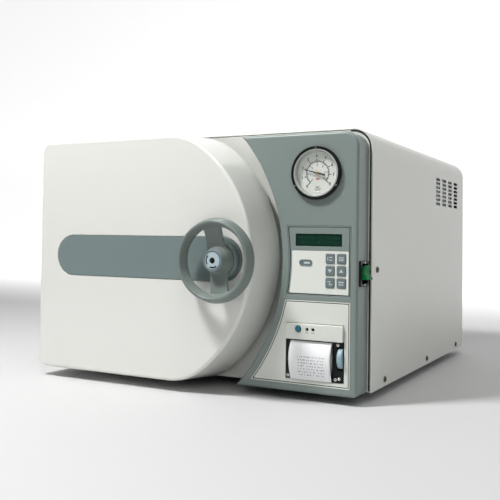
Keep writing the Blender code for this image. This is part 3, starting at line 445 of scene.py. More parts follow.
def casing_cover():
    """The section at each station in depth; each side's flat is filled again round its slots."""
    inset, down = quarter(0.7 * MM, 3)
    insets = np.concatenate([inset, inset[::-1]])
    stations = np.concatenate([FRONT + down, BACK - down[::-1]])
    section = np.stack([np.c_[s[:, 0], np.full(len(s), y), s[:, 1]]
                        for s, y in zip(map(arch_section, insets), stations)])
    half, long_row = section.shape[1] // 2, len(inset) - 1
    walls = {"right": (0, 2 * half - 2), "left": (half - 2, half)}
    gaps = [(long_row, column) for pair in walls.values() for column in pair]
    skin = Skin()
    index = skin.grid(section, leave_out=gaps)
    skin.fill(index[0])
    skin.fill(index[-1])
    for side, (outer, inner) in walls.items():
        x, look = (RIGHT, -1) if side == "right" else (LEFT, 1)
        rims = [[], []]
        for column in range(SLOT_COLUMNS):
            for row in range(SLOT_ROWS):
                y, z = SLOT_START[0] + column * SLOT_STEP[0], SLOT_START[1] - row * SLOT_STEP[1]
                rim = skin.carry(round_about(y, z, SLOT[0] / 2, SLOT[1] / 2, 1.0 * MM, 4),
                                 lambda flat, depth: np.c_[np.full(len(flat), x + look * depth), flat],
                                 [(-SLOT_LIP, 0.0), (0.0, SLOT_LIP), (0.0, SHEET)])
                rims[0].append(rim[0])
                rims[1].append(rim[-1])
        for column, rim in zip((outer, inner), rims):
            corners = [index[long_row, column], index[long_row, column + 1],
                       index[long_row + 1, column + 1], index[long_row + 1, column]]
            skin.fill(corners, *rim)
    return skin


piece("casing_cover_sheet", casing_cover(), ENAMEL, "root", ["casing_cover"])
print("slots a side:", SLOT_COLUMNS * SLOT_ROWS)

# %% [markdown]
# ## Screws
# The cover is held by small pan-head screws. A pan head is a turned dome; its cross recess is a shape in the
# plane of the head that is pushed in. We make it one grid in polar form: height is the dome, less a dip
# where the point lies within either arm of the cross.

# %% Screw maker
def screw(name, centre, axis, radius, rise, coat, turn=20.0):
    """Height over the seat is rise (1 - (r / R)^4)^(1/2), less the recess inside the cross."""
    u, v, w = square_to(axis)
    r = np.concatenate([np.linspace(0.06, 0.62, 9), np.sin(np.linspace(0.72, np.pi / 2, 7))])[:, None]
    a = np.radians(np.linspace(0, 360, 48, endpoint=False) + turn)[None, :]
    across, along = r * np.cos(a - np.radians(turn)), r * np.sin(a - np.radians(turn))
    dome = np.sqrt(np.clip(1 - r ** 4, 0, 1)) + 0 * a
    arm = np.minimum(np.abs(across), np.abs(along))
    inside = np.clip((0.15 - arm) / 0.05, 0, 1) * np.clip((0.58 - r) / 0.06, 0, 1)
    height = rise * (dome - 0.75 * inside)
    skin = Skin()
    outwards = np.cos(a)[..., None] * u + np.sin(a)[..., None] * v
    points = np.asarray(centre) + radius * (r[..., None] * outwards) + height[..., None] * w
    index = skin.grid(points)
    foot = skin.add(points[-1] - 0.4 * MM * w)
    skin.faces += np.stack([index[-1], np.roll(index[-1], -1), np.roll(foot, -1), foot], -1).tolist()
    skin.fan(index[0], np.asarray(centre) + rise * 0.25 * w)
    skin.fill(foot)
    piece(name, skin, coat, weighted=False, creases=40)


SIDE_SCREWS = [(20, 157), (55, 9.5), (265, 9.5), (459, 9.5)]
for number, (y, z) in enumerate(SIDE_SCREWS, 1):
    for side, x, look in (("right", RIGHT, 1.0), ("left", LEFT, -1.0)):
        screw(f"side_screw_{side}_{number}", (x, FRONT + y * MM, BASE + z * MM), (look, 0, 0), 4.2 * MM,
              2.2 * MM, SCREW_GREY, turn=25 * number)
print("side screws:", 2 * len(SIDE_SCREWS))

# %% [markdown]
# ## Front plate, base and feet
# Behind the door is a plain white plate with a round opening for the chamber, a slot for the latch dog and
# a window behind the controls. A slab with holes does all of it. The feet are turned.

# %% Front plate and feet
def centre_of(node):
    """The middle of a CAD part's box."""
    low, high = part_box(node)
    return (low + high) / 2


def arch_plate(inset):
    """Returns outline(pull): the casing's mouth, a little smaller all round."""
    return lambda pull=0.0: arch(inset + pull, BASE + 0.7 * MM + pull, 14)


CHAMBER_X, _, CHAMBER_Z = centre_of("chamber_flange")
WHEEL_X, _, WHEEL_Z = centre_of("wheel_boss")
latch_slot = round_about(WHEEL_X, WHEEL_Z, 8 * MM, 21 * MM, 2 * MM, 5)
control_hole = rounded_box(RIGHT - 112 * MM, RIGHT - 16 * MM, BASE + 14 * MM, BASE + 318 * MM, 3 * MM, 5)
mouth_hole = round_outline(CHAMBER_X, CHAMBER_Z, 122.5 * MM, 128)
piece("front_plate_sheet", slab(arch_plate(2.6 * MM), [mouth_hole, latch_slot, control_hole],
                                facing_front(FRONT + 0.5 * MM), 2.0 * MM, 0.4 * MM),
      ENAMEL, "root", ["front_plate"])

FOOT_PROFILE = soften(np.array([(0.0, 0.0), (14.5, 0.0), (16, 0.6), (18, 11.6), (0.0, 11.6)]) * MM, 1.2 * MM)
for corner in ("left_front", "right_front", "left_rear", "right_rear"):
    middle = centre_of("foot_" + corner)
    piece(f"rubber_foot_{corner}", turned(FOOT_PROFILE, (middle.x, middle.y, 0.0), (0, 0, 1), 48), RUBBER,
          "root", ["foot_" + corner], creases=50)
print(f"chamber's middle {1000 * (CHAMBER_X - LEFT):.0f} mm from the left side")

# %% [markdown]
# ## The door
# The door is one big moulding. Seen from the front it is square on the hinge side and ends in one wide arc
# on the latch side, and it widens slightly towards the back, as a moulding must to leave its tool. So its
# outline is a function of depth, and the shell is that outline carried from the rounded front edge to the
# back rim, then inwards by the wall and forwards again. A stadium-shaped recess in its face takes the grey
# band, with a fine dark groove left round it.

# %% Door outline
DOOR_LOW, DOOR_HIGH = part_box("door_cover")
DOOR_FACE, DOOR_REAR = DOOR_LOW.y, DOOR_HIGH.y
DOOR_DEPTH = DOOR_REAR - DOOR_FACE
DOOR_RADII = (183 * MM, DOOR_HIGH.x - CHAMBER_X)
DOOR_LEVELS = ((BASE + 2.2 * MM, DOOR_LOW.z), (BASE + 334.5 * MM, DOOR_HIGH.z + 4.0 * MM))
HINGE_CORNER = 14 * MM
DOOR_BLEND = 7.0
WHEEL_BORE = round_outline(WHEEL_X, WHEEL_Z, 7.5 * MM, 32)


def door_outline(depth, inset):
    """Straight hinge side, straight top and bottom, and a wide arc; each grows with depth by the draft.

    The last DOOR_BLEND degrees of the arc, at either end, bend into the straight edge."""
    share = depth / DOOR_DEPTH
    radius = DOOR_RADII[0] + share * (DOOR_RADII[1] - DOOR_RADII[0]) - inset
    bottom, top = [a + share * (b - a) + sign * inset for (a, b), sign in zip(DOOR_LEVELS, (1, -1))]
    left, corner = DOOR_LOW.x + inset, HINGE_CORNER - inset
    low, high = (np.degrees(np.arcsin((level - CHAMBER_Z) / radius)) for level in (bottom, top))
    swing = arc(CHAMBER_X, CHAMBER_Z, radius, low + DOOR_BLEND, high - DOOR_BLEND, 90)
    ends = []
    for angle, level, sign in ((low, bottom, -1), (high, top, 1)):
        tip = np.array([CHAMBER_X + radius * np.cos(np.radians(angle)), level])
        on_arc = arc(CHAMBER_X, CHAMBER_Z, radius, angle - sign * DOOR_BLEND, angle - sign * DOOR_BLEND, 1)[0]
        on_flat = tip - [np.radians(DOOR_BLEND) * radius, 0.0]
        ends.append(bend(on_flat, tip, on_arc, 8))
    return np.concatenate([ends[0][:-1], swing, ends[1][::-1][1:],
                           arc(left + corner, top - corner, corner, 90, 180, 9),
                           arc(left + corner, bottom + corner, corner, 180, 270, 9)])


BAND_LOW, BAND_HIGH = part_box("door_band")
BAND_HALF = (BAND_HIGH.z - BAND_LOW.z) / 2
GROOVE = 0.5 * MM


def band_outline(grow):
    """The band's stadium, grown or shrunk all round."""
    return box_round("door_band", grow, BAND_HALF + grow, 24)


print(f"door {1000 * (DOOR_HIGH.x - DOOR_LOW.x):.0f} mm wide and {1000 * DOOR_DEPTH:.0f} mm deep")

# %% Door shell
def door_shell():
    """Outer rings to the back rim, inner rings forwards again, and a recess sunk in the face."""
    wall, fillet, recess_depth = 3.5 * MM, 4.2 * MM, 2.4 * MM
    skin = Skin()
    place = facing_front(DOOR_FACE)
    outside = soft_edge(fillet, 8, *((0.0, DOOR_DEPTH * share) for share in (0.35, 0.7, 0.985)))
    rim = [(0.5 * MM, DOOR_DEPTH), (wall - 0.5 * MM, DOOR_DEPTH)]
    inside = [(wall, DOOR_DEPTH * 0.985), (wall, 12 * MM), (wall + 5 * MM, wall + 1 * MM)]
    shell = skin.grid(np.stack([place(door_outline(depth, pull), depth)
                                for pull, depth in outside + rim + inside]))
    recess = skin.carry(band_outline(GROOVE), place, soft_edge(0.5 * MM, 3, (0.0, recess_depth)), hole=True)
    hole = skin.carry(WHEEL_BORE, place, [(0.0, recess_depth), (0.0, wall + 1 * MM)])
    skin.fill(shell[0], recess[0])
    skin.fill(recess[-1], hole[0])
    skin.fill(shell[-1], hole[-1])
    return skin


def as_shown(made):
    """A new mesh of the object as its modifiers leave it."""
    bpy.context.view_layer.update()
    return bpy.data.meshes.new_from_object(made.evaluated_get(bpy.context.evaluated_depsgraph_get()))


def keep_shown(made):
    """Makes what the modifiers show the object's own mesh, and takes the modifiers off."""
    old, made.data = made.data, as_shown(made)
    made.modifiers.clear()
    bpy.data.meshes.remove(old)


def carve(target, tool):
    """Cuts a helper block out of a piece and keeps the result as its mesh."""
    cutter = bpy.data.objects.new("cutter", tool)
    bpy.context.scene.collection.objects.link(cutter)
    step = target.modifiers.new("carve", "BOOLEAN")
    step.operation, step.object, step.solver = "DIFFERENCE", cutter, "EXACT"
    keep_shown(target)
    bpy.data.objects.remove(cutter, do_unlink=True)


def crease(target, degrees):
    """Keeps flat faces flat, and edges sharp where the faces meet at more than that angle."""
    target.modifiers.new("flat faces stay flat", "WEIGHTED_NORMAL").keep_sharp = True
    target.data.set_sharp_from_angle(angle=math.radians(degrees))


def block(low, high):
    """A plain box as a mesh, for carving."""
    form = bmesh.new()
    size = Vector(high) - Vector(low)
    bmesh.ops.create_cube(form, size=1.0, matrix=Matrix.Translation((Vector(low) + Vector(high)) / 2)
                          @ Matrix.Diagonal((*size, 1.0)))
    mesh = bpy.data.meshes.new("block")
    form.to_mesh(mesh)
    form.free()
    return mesh


door = piece("door_cover_shell", door_shell(), DOOR_WHITE, "door", ["door_cover"],
             weighted=False)
for label in ("upper", "lower"):
    low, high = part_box("hinge_bracket_" + label)
    carve(door, block((LEFT - 10 * MM, low.y - 10 * MM, low.z - 3 * MM),
                      (LEFT + 5.5 * MM, high.y, high.z + 3 * MM)))
crease(door, 50)
print("door shell faces:", len(door.data.polygons))

# %% [markdown]
# ## Band and boss
# The band is a thin plate with a soft edge that lies in the recess. The boss is turned: a low collar that
# the wheel's hub runs on.

# %% Band and boss
band = slab(band_outline(-0.3 * MM), [WHEEL_BORE], facing_front(BAND_LOW.y + 0.3 * MM), 2.1 * MM, 0.5 * MM)
piece("door_band_plate", band, BAND_GREY, "door", ["door_band"])
BOSS_LOW, BOSS_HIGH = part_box("wheel_boss")
BOSS_DEPTH = BOSS_HIGH.y - BOSS_LOW.y
boss_profile = soften([(6.3 * MM, BOSS_DEPTH), (22.2 * MM, BOSS_DEPTH), (24 * MM, BOSS_DEPTH * 0.55),
                       (24 * MM, 0.0), (6.3 * MM, 0.0)], 1.4 * MM)
piece("wheel_boss_collar", turned(boss_profile, (WHEEL_X, BOSS_HIGH.y, WHEEL_Z), TO_FRONT, ring=True),
      BAND_GREY, "door", ["wheel_boss"], creases=60)
print(f"band {2000 * BAND_HALF:.0f} mm high")

# %% [markdown]
# ## The handwheel
# A moulded wheel has no sharp inner corners: rim, spokes and hub flow into each other. We make the three as
# separate closed forms that overlap, wrap them in one skin with a voxel remesh, and relax that skin a few
# times, which leaves the small fillets that a real moulding has.

# %% Handwheel forms
WHEEL_AXIS = np.array([WHEEL_X, FRONT, WHEEL_Z])
RIM_SECTION = [(43.0, 99.2), (48.0, 110.6), (51.2, 110.4), (55.3, 98.6), (54.8, 94.6), (45.0, 94.4)]
HUB_SECTION = [(0.0, 105.3), (13.3, 105.3), (14.2, 104.3), (16.0, 101.0), (21.0, 88.7), (0.0, 88.7)]
WHEEL_TURN = 8.0


def round_loop(points, radius):
    """A closed polygon with all its corners rounded."""
    points = np.asarray(points, float)
    return soften(np.concatenate([points[-1:], points, points[:1]]), radius)[1:-1]


def spoke_form(skin, sign):
    """Rounded sections from hub to rim, rising forwards; width and thickness swell at both ends like s^2."""
    reach = np.linspace(5 * MM, 47.5 * MM, 18)
    s = (reach - 30 * MM) / (18 * MM)
    half = (12.6 + 1.9 * np.clip(s, -1.2, 1) ** 2) * MM
    thick = (3.0 + 0.5 * np.clip(s, -1.2, 1) ** 2) * MM
    middle = (92.4 + 6.6 * np.clip((reach - 14 * MM) / (33 * MM), 0, 1)) * MM
    a = np.radians(np.linspace(0, 360, 36, endpoint=False))
    across = np.sign(np.cos(a)) * np.abs(np.cos(a)) ** 0.35
    deep = np.sign(np.sin(a)) * np.abs(np.sin(a)) ** 0.55
    tilt = math.radians(WHEEL_TURN)
    x = half[:, None] * across
    z = sign * reach[:, None] + 0 * across
    y = -(middle[:, None] + thick[:, None] * deep - 0.9 * MM * (1 - across ** 2) * (deep > 0))
    turned_x = x * math.cos(tilt) - z * math.sin(tilt)
    turned_z = x * math.sin(tilt) + z * math.cos(tilt)
    skin.capped(WHEEL_AXIS + np.stack([turned_x, y, turned_z], -1))


def handwheel_form():
    """A turned rim, a turned hub and two spokes, which overlap."""
    skin = Skin()
    rim = round_loop(RIM_SECTION, 2.4) * MM
    turned(rim, WHEEL_AXIS, TO_FRONT, 144, skin, ring=True)
    turned(soften(np.array(HUB_SECTION) * MM, 1.0 * MM), WHEEL_AXIS, TO_FRONT, 72, skin)
    for sign in (-1, 1):
        spoke_form(skin, sign)
    return skin


# %% Handwheel in one skin
def one_skin(source, voxel, relax):
    """Remeshes overlapping closed forms at a voxel size and relaxes the result."""
    remesh = source.modifiers.new("wrap", "REMESH")
    remesh.mode, remesh.voxel_size = "VOXEL", voxel
    soft = source.modifiers.new("relax", "SMOOTH")
    soft.factor, soft.iterations = 0.5, relax
    keep_shown(source)
    source.data.shade_smooth()


wheel = piece("handwheel_moulding", handwheel_form(), WHEEL_GREY, "handwheel", ["handwheel"],
              weighted=False)
one_skin(wheel, 0.7 * MM, 6)
print("handwheel faces:", len(wheel.data.polygons))

# %% [markdown]
# ## The end of the latch shaft
# In the middle of the hub the shaft ends in a bright cap with a socket and two curved spanner slots. The
# cap is a turned part whose face is filled round three holes.

# %% Shaft cap
CAP_FACE = FRONT - 107.6 * MM
CAP_BLUE = finish("cap_blue_grey", (0.46, 0.56, 0.60), (0.40, 0.50, 0.54), (0.26, 0.36), (1200, 0.006), 40)
CAP_RING = finish("cap_ring_grey", (0.20, 0.25, 0.27), (0.16, 0.21, 0.23), (0.26, 0.36), (1200, 0.006), 40)


def shaft_cap():
    """The shaft: a collar with a raised lip, a floor inside it, and the stem behind."""
    profile = [(0.0, -1.0), (11.6, -1.0), (11.9, -0.2), (12.3, 0.0), (13.4, 0.0), (13.9, -0.5), (13.9, -2.4),
               (6.0, -2.4), (6.0, -124.0), (0.0, -124.0)]
    return turned(soften(np.array(profile) * MM, 0.25 * MM), (WHEEL_X, CAP_FACE, WHEEL_Z), TO_FRONT, 72)


def arc_slot(start, end, outer=9.9, inner=8.0):
    """A curved slot between two angles: an arc out, and a smaller arc back."""
    def outline(inset=0.0):
        pull = np.degrees(inset / (9 * MM))
        return np.concatenate([arc(WHEEL_X, WHEEL_Z, outer * MM - inset, start + pull, end - pull, 14),
                               arc(WHEEL_X, WHEEL_Z, inner * MM + inset, end - pull, start + pull, 14)])
    return outline


piece("latch_shaft_cap", shaft_cap(), CAP_RING, "handwheel", (), creases=45)
cap_disc = slab(round_outline(WHEEL_X, WHEEL_Z, 10.9 * MM, 72),
                [round_outline(WHEEL_X, WHEEL_Z, 3.9 * MM, 36), arc_slot(135, 215), arc_slot(245, 312)],
                facing_front(CAP_FACE - 0.1 * MM), 0.85 * MM, 0.25 * MM)
piece("latch_cap_disc", cap_disc, CAP_BLUE, "handwheel", (), creases=45)
# A black disc behind the cap's socket and slots: painted shade for the depth of those holes.
socket_shade = slab(round_outline(WHEEL_X, WHEEL_Z, 10.4 * MM, 48), [], facing_front(CAP_FACE + 0.8 * MM),
               0.2 * MM, 0.05 * MM)
piece("latch_cap_socket_shade", socket_shade, BLACK, "handwheel", creases=40)
print(f"cap stands {1000 * (FRONT - CAP_FACE):.1f} mm in front of the casing")

# %% [markdown]
# ## The control fascia
# The fascia is a shell like the door: square at the right, hollowed by a wide arc at the left so that the
# door can pass. Its outline is also a function of the inset. The face has a round hole for the gauge and
# two windows for the panels, and their edges are rounded the same way.

# %% Fascia outline
FASCIA_LOW, FASCIA_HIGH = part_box("control_fascia")
FASCIA_FACE = FASCIA_LOW.y
FASCIA_DEPTH = FASCIA_HIGH.y - FASCIA_LOW.y
HOLLOW = (RIGHT - 357.5 * MM, BASE + 167.9 * MM, 247 * MM)
PANEL_INSET = 10.5 * MM
PANEL_RIGHT = RIGHT - 14.5 * MM
KEYPAD_LEVELS = (BASE + 123.0 * MM, BASE + 213.0 * MM)
PRINTER_LEVELS = (BASE + 8.5 * MM, BASE + 116.8 * MM)


def hollowed(inset_left, right, low, high, corners):
    """Returns outline(inset): an arc of the hollow's centre on the left, and rounded corners."""
    cx, cz, radius = HOLLOW

    def outline(inset=0.0):
        r0 = radius + inset_left + inset
        bottom, top, edge = low + inset, high - inset, right - inset
        soft = 2.0 * MM
        start = np.degrees(np.arcsin((top - soft - cz) / r0))
        end = np.degrees(np.arcsin((bottom + soft - cz) / r0))
        curve = arc(cx, cz, r0, start, end, 48)
        shoulder = []
        for on_arc, level in ((curve[0], top), (curve[-1], bottom)):
            tip = np.array([cx + np.sqrt(r0 ** 2 - (level - cz) ** 2), level])
            shoulder.append(bend(tip + [soft, 0.0], tip, on_arc, 4))
        r1, r2 = (max(c - inset, 0.3 * MM) for c in corners)
        return np.concatenate([shoulder[0][:-1], curve, shoulder[1][::-1][1:],
                               arc(edge - r1, bottom + r1, r1, 270, 360, 10),
                               arc(edge - r2, top - r2, r2, 0, 90, 10)])
    return outline


def panel_outline(levels, pull=0.0, corner=1 * MM):
    """The outline of a panel's opening, or of a plate that is smaller all round by the pull."""
    low, high = levels
    return hollowed(PANEL_INSET + pull, PANEL_RIGHT - pull, low + pull, high - pull, (corner, corner))


fascia_edge = hollowed(0.0, FASCIA_HIGH.x, FASCIA_LOW.z, FASCIA_HIGH.z, (6 * MM, 20 * MM))
GAUGE_X, _, GAUGE_Z = centre_of("gauge_case")
SWITCH_LOW, SWITCH_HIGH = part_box("switch_bezel")


# %% Fascia shell
def fascia_shell():
    """Outer rings to the back rim and inner rings forwards again, with three openings in the face."""
    wall, fillet = 3.5 * MM, 4.0 * MM
    place = facing_front(FASCIA_FACE)
    skin = Skin()
    rings = soft_edge(fillet, 7, (0.0, FASCIA_DEPTH - 0.6 * MM), (0.6 * MM, FASCIA_DEPTH),
                      (wall - 0.5 * MM, FASCIA_DEPTH), (wall, FASCIA_DEPTH - 0.5 * MM), (wall, fillet + 1 * MM),
                      (wall + 2 * MM, wall))
    shell = skin.carry(fascia_edge, place, rings)
    openings = (round_outline(GAUGE_X, GAUGE_Z, 31 * MM, 96), panel_outline(KEYPAD_LEVELS),
                panel_outline(PRINTER_LEVELS))
    edges = [skin.carry(shape, place, soft_edge(0.8 * MM, 3, (0.0, wall)), hole=True) for shape in openings]
    skin.fill(shell[0], *[edge[0] for edge in edges])
    skin.fill(shell[-1], *[edge[-1] for edge in edges])
    return skin


fascia = piece("control_fascia_shell", fascia_shell(), GREY, "root", ["control_fascia"],
               weighted=False)
carve(fascia, block((FASCIA_HIGH.x - 9 * MM, SWITCH_LOW.y + 2.6 * MM, SWITCH_LOW.z + 2.6 * MM),
                    (FASCIA_HIGH.x + 9 * MM, SWITCH_HIGH.y - 2.6 * MM, SWITCH_HIGH.z - 2.6 * MM)))
crease(fascia, 50)
print("fascia faces:", len(fascia.data.polygons))

# %% Painted shade in the gap round the fascia
def trim_outline(inset=0.0):
    """Painted shade for the gap beside the fascia: a dark strip along the casing's inner edge, round the top
    corner and down the side.
    """
    def path(offset, first, low):
        return np.concatenate([arc(RIGHT - CORNER, TOP - CORNER, CORNER - offset, first, 0, 24),
                               [[RIGHT - offset, low]]])
    near, far = SHEET + 0.3 * MM + inset, SHEET + 1.9 * MM - inset
    low = BASE + 2 * MM + inset
    return np.concatenate([path(near, 96, low), path(far, 96, low)[::-1]])


# A dark strip as painted shade in the gap between the fascia and the casing.
piece("fascia_gap_shade", slab(trim_outline, [], facing_front(FRONT - 0.25 * MM), 0.6 * MM, 0.2 * MM, 0.02 * MM),
      RUBBER, "root", ())
print(f"fascia stands {1000 * (FRONT - FASCIA_FACE):.0f} mm in front of the casing")

# %% [markdown]
# ## The pressure gauge
# A gauge is a set of turned parts: a black bezel with a bright inner step, a white dial, and a domed glass.
# The scale is real geometry a few hundredths of a millimetre thick: a tick is a thin box placed by its
# angle, and the figures are text turned into meshes. The pointer is a tapered blade with a tail and a hub.

# %% Gauge case, dial and glass
GAUGE_CENTRE = (GAUGE_X, FASCIA_FACE, GAUGE_Z)
bezel = soften(np.array([(28.2, -6.0), (28.2, 3.4), (31.0, 3.6), (31.2, 5.0), (34.1, 5.0), (34.5, 4.4),
                         (34.5, 0.3), (30.5, 0.3), (30.5, -24.0), (5.0, -24.0), (5.0, -8.0),
                         (28.2, -6.6)]) * MM, 0.3 * MM)
piece("gauge_bezel", turned(bezel, GAUGE_CENTRE, TO_FRONT, ring=True), BLACK, "root", ["gauge_case"],
      weighted=False, creases=40)
step = soften(np.array([(28.1, -4.6), (28.1, 3.5), (31.0, 3.6), (31.0, 4.2), (30.4, 4.6), (29.2, 4.4),
                        (28.0, 3.0), (27.7, -4.6)]) * MM, 0.3 * MM)
piece("gauge_inner_ring", turned(step, GAUGE_CENTRE, TO_FRONT, ring=True), SATIN, "root", (),
      weighted=False, creases=50)
dial = soften(np.array([(1.2, -2.8), (27.9, -2.8), (27.9, -3.8), (1.2, -3.8)]) * MM, 0.1 * MM)
piece("gauge_dial_plate", turned(dial, GAUGE_CENTRE, TO_FRONT, ring=True), DIAL_WHITE, "root", ["gauge_dial"],
      creases=40)


def clear_glass():
    """A faintly tinted, nearly invisible plastic lens."""
    made = finish("clear_glass", (0.60, 0.64, 0.62), (0.55, 0.60, 0.58), (0.02, 0.04), (300, 0.0005), 8)
    shader = made.node_tree.nodes["Principled BSDF"]
    shader.inputs["Alpha"].default_value = 0.07
    shader.inputs["IOR"].default_value = 1.5
    return made


GLASS = clear_glass()
lens = np.array([(0.0, 3.9), (9.0, 3.85), (18.0, 3.6), (27.0, 3.2), (27.1, 2.2), (18.0, 2.6), (9.0, 2.85),
                 (0.0, 2.9)]) * MM
piece("gauge_lens", turned(lens, GAUGE_CENTRE, TO_FRONT, 72), GLASS, "root", ["gauge_glass"],
      weighted=False)

# %% Gauge scale
ZERO_ANGLE, START_ANGLE, END_ANGLE = 165.0, 229.0, -40.0
DIAL_Y = FASCIA_FACE + 2.8 * MM
PRINTED = (-0.08 * MM, 0.02 * MM)


def ticks(skin, angles, inner, outer, width):
    """One thin box a tick, from the inner radius to the outer, at each angle."""
    a = np.radians(np.asarray(angles, float))[:, None]
    radial, side = np.stack([np.cos(a), np.sin(a)], -1), np.stack([-np.sin(a), np.cos(a)], -1)
    corner = [(inner, -width / 2), (outer, -width / 2), (outer, width / 2), (inner, width / 2)]
    flat = np.concatenate([r * radial + s * side for r, s in corner], axis=1)
    for quad in flat:
        skin.capped(np.stack([facing_front(DIAL_Y)([GAUGE_X, GAUGE_Z] + quad, d) for d in PRINTED]))


def scale_arc(skin, radius, start, end, width):
    """A printed arc: a thin curved strip."""
    flat = np.concatenate([arc(GAUGE_X, GAUGE_Z, radius, start, end, 80),
                           arc(GAUGE_X, GAUGE_Z, radius - width, end, start, 80)])
    skin.capped(np.stack([facing_front(DIAL_Y)(flat, d) for d in PRINTED]))


def stamp(skin, outline, y=DIAL_Y - 0.08 * MM):
    """A flat mark a tenth of a millimetre thick."""
    return slab(outline, [], facing_front(y), 0.1 * MM, 0.01 * MM, 0.01 * MM, skin)


marks = Skin()
scale_arc(marks, 15.8 * MM, START_ANGLE, END_ANGLE, 0.85 * MM)
ticks(marks, np.linspace(START_ANGLE, END_ANGLE, 9), 15.4 * MM, 19.2 * MM, 1.00 * MM)
ticks(marks, np.linspace(START_ANGLE, END_ANGLE, 41), 15.4 * MM, 17.2 * MM, 0.45 * MM)
ticks(marks, np.linspace(START_ANGLE, END_ANGLE, 7), 12.2 * MM, 15.2 * MM, 0.85 * MM)
ticks(marks, np.linspace(START_ANGLE, END_ANGLE, 31), 13.6 * MM, 15.2 * MM, 0.40 * MM)
ticks(marks, [START_ANGLE, END_ANGLE], 9.5 * MM, 20.0 * MM, 0.85 * MM)
for level, half in ((-18.6, 1.3), (-18.0, 3.4), (-20.6, 4.6), (-22.2, 3.0)):
    stamp(marks, round_about(GAUGE_X, GAUGE_Z + (level + 0.3) * MM, half * MM, 0.3 * MM, 0.1 * MM, 2))
piece("gauge_scale", marks, INK, "root", creases=30)
red = stamp(Skin(), round_about(GAUGE_X, GAUGE_Z - 7.6 * MM, 2.6 * MM, 0.8 * MM, 0.2 * MM, 3))
piece("gauge_red_mark", red, RED_INK, "root", creases=30)
print("faces of the gauge's scale:", len(marks.faces))


# %% Gauge figures and pointer
def around(x, z, reach, angle):
    """The point (x, z) at a distance from a centre and at an angle in degrees."""
    return x + reach * math.cos(math.radians(angle)), z + reach * math.sin(math.radians(angle))


def figure(name, number, size, reach, angle):
    """A number made a mesh and centred on the dial at that reach and angle."""
    x, z = around(GAUGE_X, GAUGE_Z, reach, angle)
    curve = bpy.data.curves.new(name, "FONT")
    curve.body, curve.size, curve.extrude, curve.offset = str(number), size, 0.04 * MM, 0.025 * size
    curve.align_x, curve.align_y = "CENTER", "CENTER"
    holder = bpy.data.objects.new(name, curve)
    bpy.context.scene.collection.objects.link(holder)
    mesh = as_shown(holder)
    bpy.data.objects.remove(holder, do_unlink=True)
    mesh.transform(Matrix.Translation((x, DIAL_Y - 0.04 * MM, z)) @ Matrix.Rotation(math.pi / 2, 4, "X"))
    settle(name, mesh, INK, weighted=False, creases=30)


for number, angle in enumerate(np.linspace(START_ANGLE, END_ANGLE, 9)):
    figure(f"gauge_figure_{number}", number, 5.2 * MM, 22.2 * MM, angle)
for number, angle in enumerate(np.linspace(START_ANGLE, END_ANGLE, 7)[1:-1], 1):
    figure(f"gauge_inner_figure_{number}", number, 3.4 * MM, 10.2 * MM, angle)


def pointer_form():
    """A blade that tapers to the tip, a broader tail, and a round hub over them."""
    skin = Skin()
    c, s = math.cos(math.radians(ZERO_ANGLE)), math.sin(math.radians(ZERO_ANGLE))
    blade = np.array([(18.4, 0.32), (2.0, 1.10), (-2.0, 1.15), (-3.0, 1.35), (-11.6, 1.35), (-11.6, -1.35),
                      (-3.0, -1.35), (-2.0, -1.15), (2.0, -1.10), (18.4, -0.32)]) * MM
    flat = np.c_[GAUGE_X + c * blade[:, 0] - s * blade[:, 1], GAUGE_Z + s * blade[:, 0] + c * blade[:, 1]]
    skin.capped(np.stack([facing_front(FASCIA_FACE)(flat, d) for d in (0.1 * MM, 0.6 * MM)]))
    return skin


piece("gauge_pointer", pointer_form(), INK, "gauge_needle", ["gauge_needle"], creases=30)
hub = soften(np.array([(0.0, 0.9), (1.9, 0.9), (2.4, 0.2), (2.4, -2.0), (0.0, -2.0)]) * MM, 0.3 * MM)
piece("gauge_pointer_hub", turned(hub, GAUGE_CENTRE, TO_FRONT, 40), BRASS, "gauge_needle", creases=40)
for number, angle in enumerate((90, 210, 330), 1):
    x, z = around(GAUGE_X, GAUGE_Z, 32.7 * MM, angle)
    screw(f"gauge_screw_{number}", (x, FASCIA_FACE - 4.9 * MM, z), TO_FRONT, 1.0 * MM, 0.4 * MM, CHROME)
print(f"pointer at rest at {ZERO_ANGLE:.0f} degrees")

# %% [markdown]
# ## The keypad
# A grey frame plate carries the display; below it lies a thin white overlay with six keys and an oval lamp.
# Each key is its own rounded tile, so that it can be pressed. The legends are plain signs: triangles for up
# and down, and simple bars for the rest.

# %% Keypad plates
DISPLAY_LOW, DISPLAY_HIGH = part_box("lcd_module")
KEYS = {number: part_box(f"key_{number}") for number in range(1, 7)}


def framed_plate(name, levels, core_edge, groove_edge, holes, coat, stands_for, depth):
    """A plate with a thin raised frame round it, a groove between them, and a core that lies deeper."""
    groove_floor, plate_back = 1.9 * MM, 2.8 * MM

    def steps(start, bottom):
        return [*((inset, start + down) for inset, down in soft_edge(0.35 * MM, 3)), (0.0, bottom)]

    place = facing_front(FASCIA_FACE)
    skin = Skin()
    outer = skin.carry(panel_outline(levels, 0.2 * MM), place, steps(0.0, plate_back))
    inner = skin.carry(groove_edge, place, steps(0.0, groove_floor), hole=True)
    core = skin.carry(core_edge, place, steps(depth, groove_floor))
    cuts = [skin.carry(hole, place, steps(depth, plate_back), hole=True) for hole in holes]
    skin.fill(outer[0], inner[0])
    skin.fill(inner[-1], core[-1])
    skin.fill(core[0], *[cut[0] for cut in cuts])
    skin.fill(outer[-1], *[cut[-1] for cut in cuts])
    piece(name, skin, coat, "root", stands_for)


def inner_edges(levels, frame_width, groove_width):
    """The outlines of the groove and of the plate's core, offset from the panel's opening."""
    return [panel_outline(levels, pull, 0.8 * MM) for pull in (frame_width, frame_width + groove_width)]


def seal_strip(name, outer, inner):
    """Painted shade: a dark strip that lies in a plate's groove and stands in for the groove's shadow."""
    strip = slab(outer, [inner], facing_front(FASCIA_FACE + 0.75 * MM), 1.2 * MM, 0.05 * MM, 0.02 * MM)
    piece(name, strip, RUBBER, "root", creases=40)


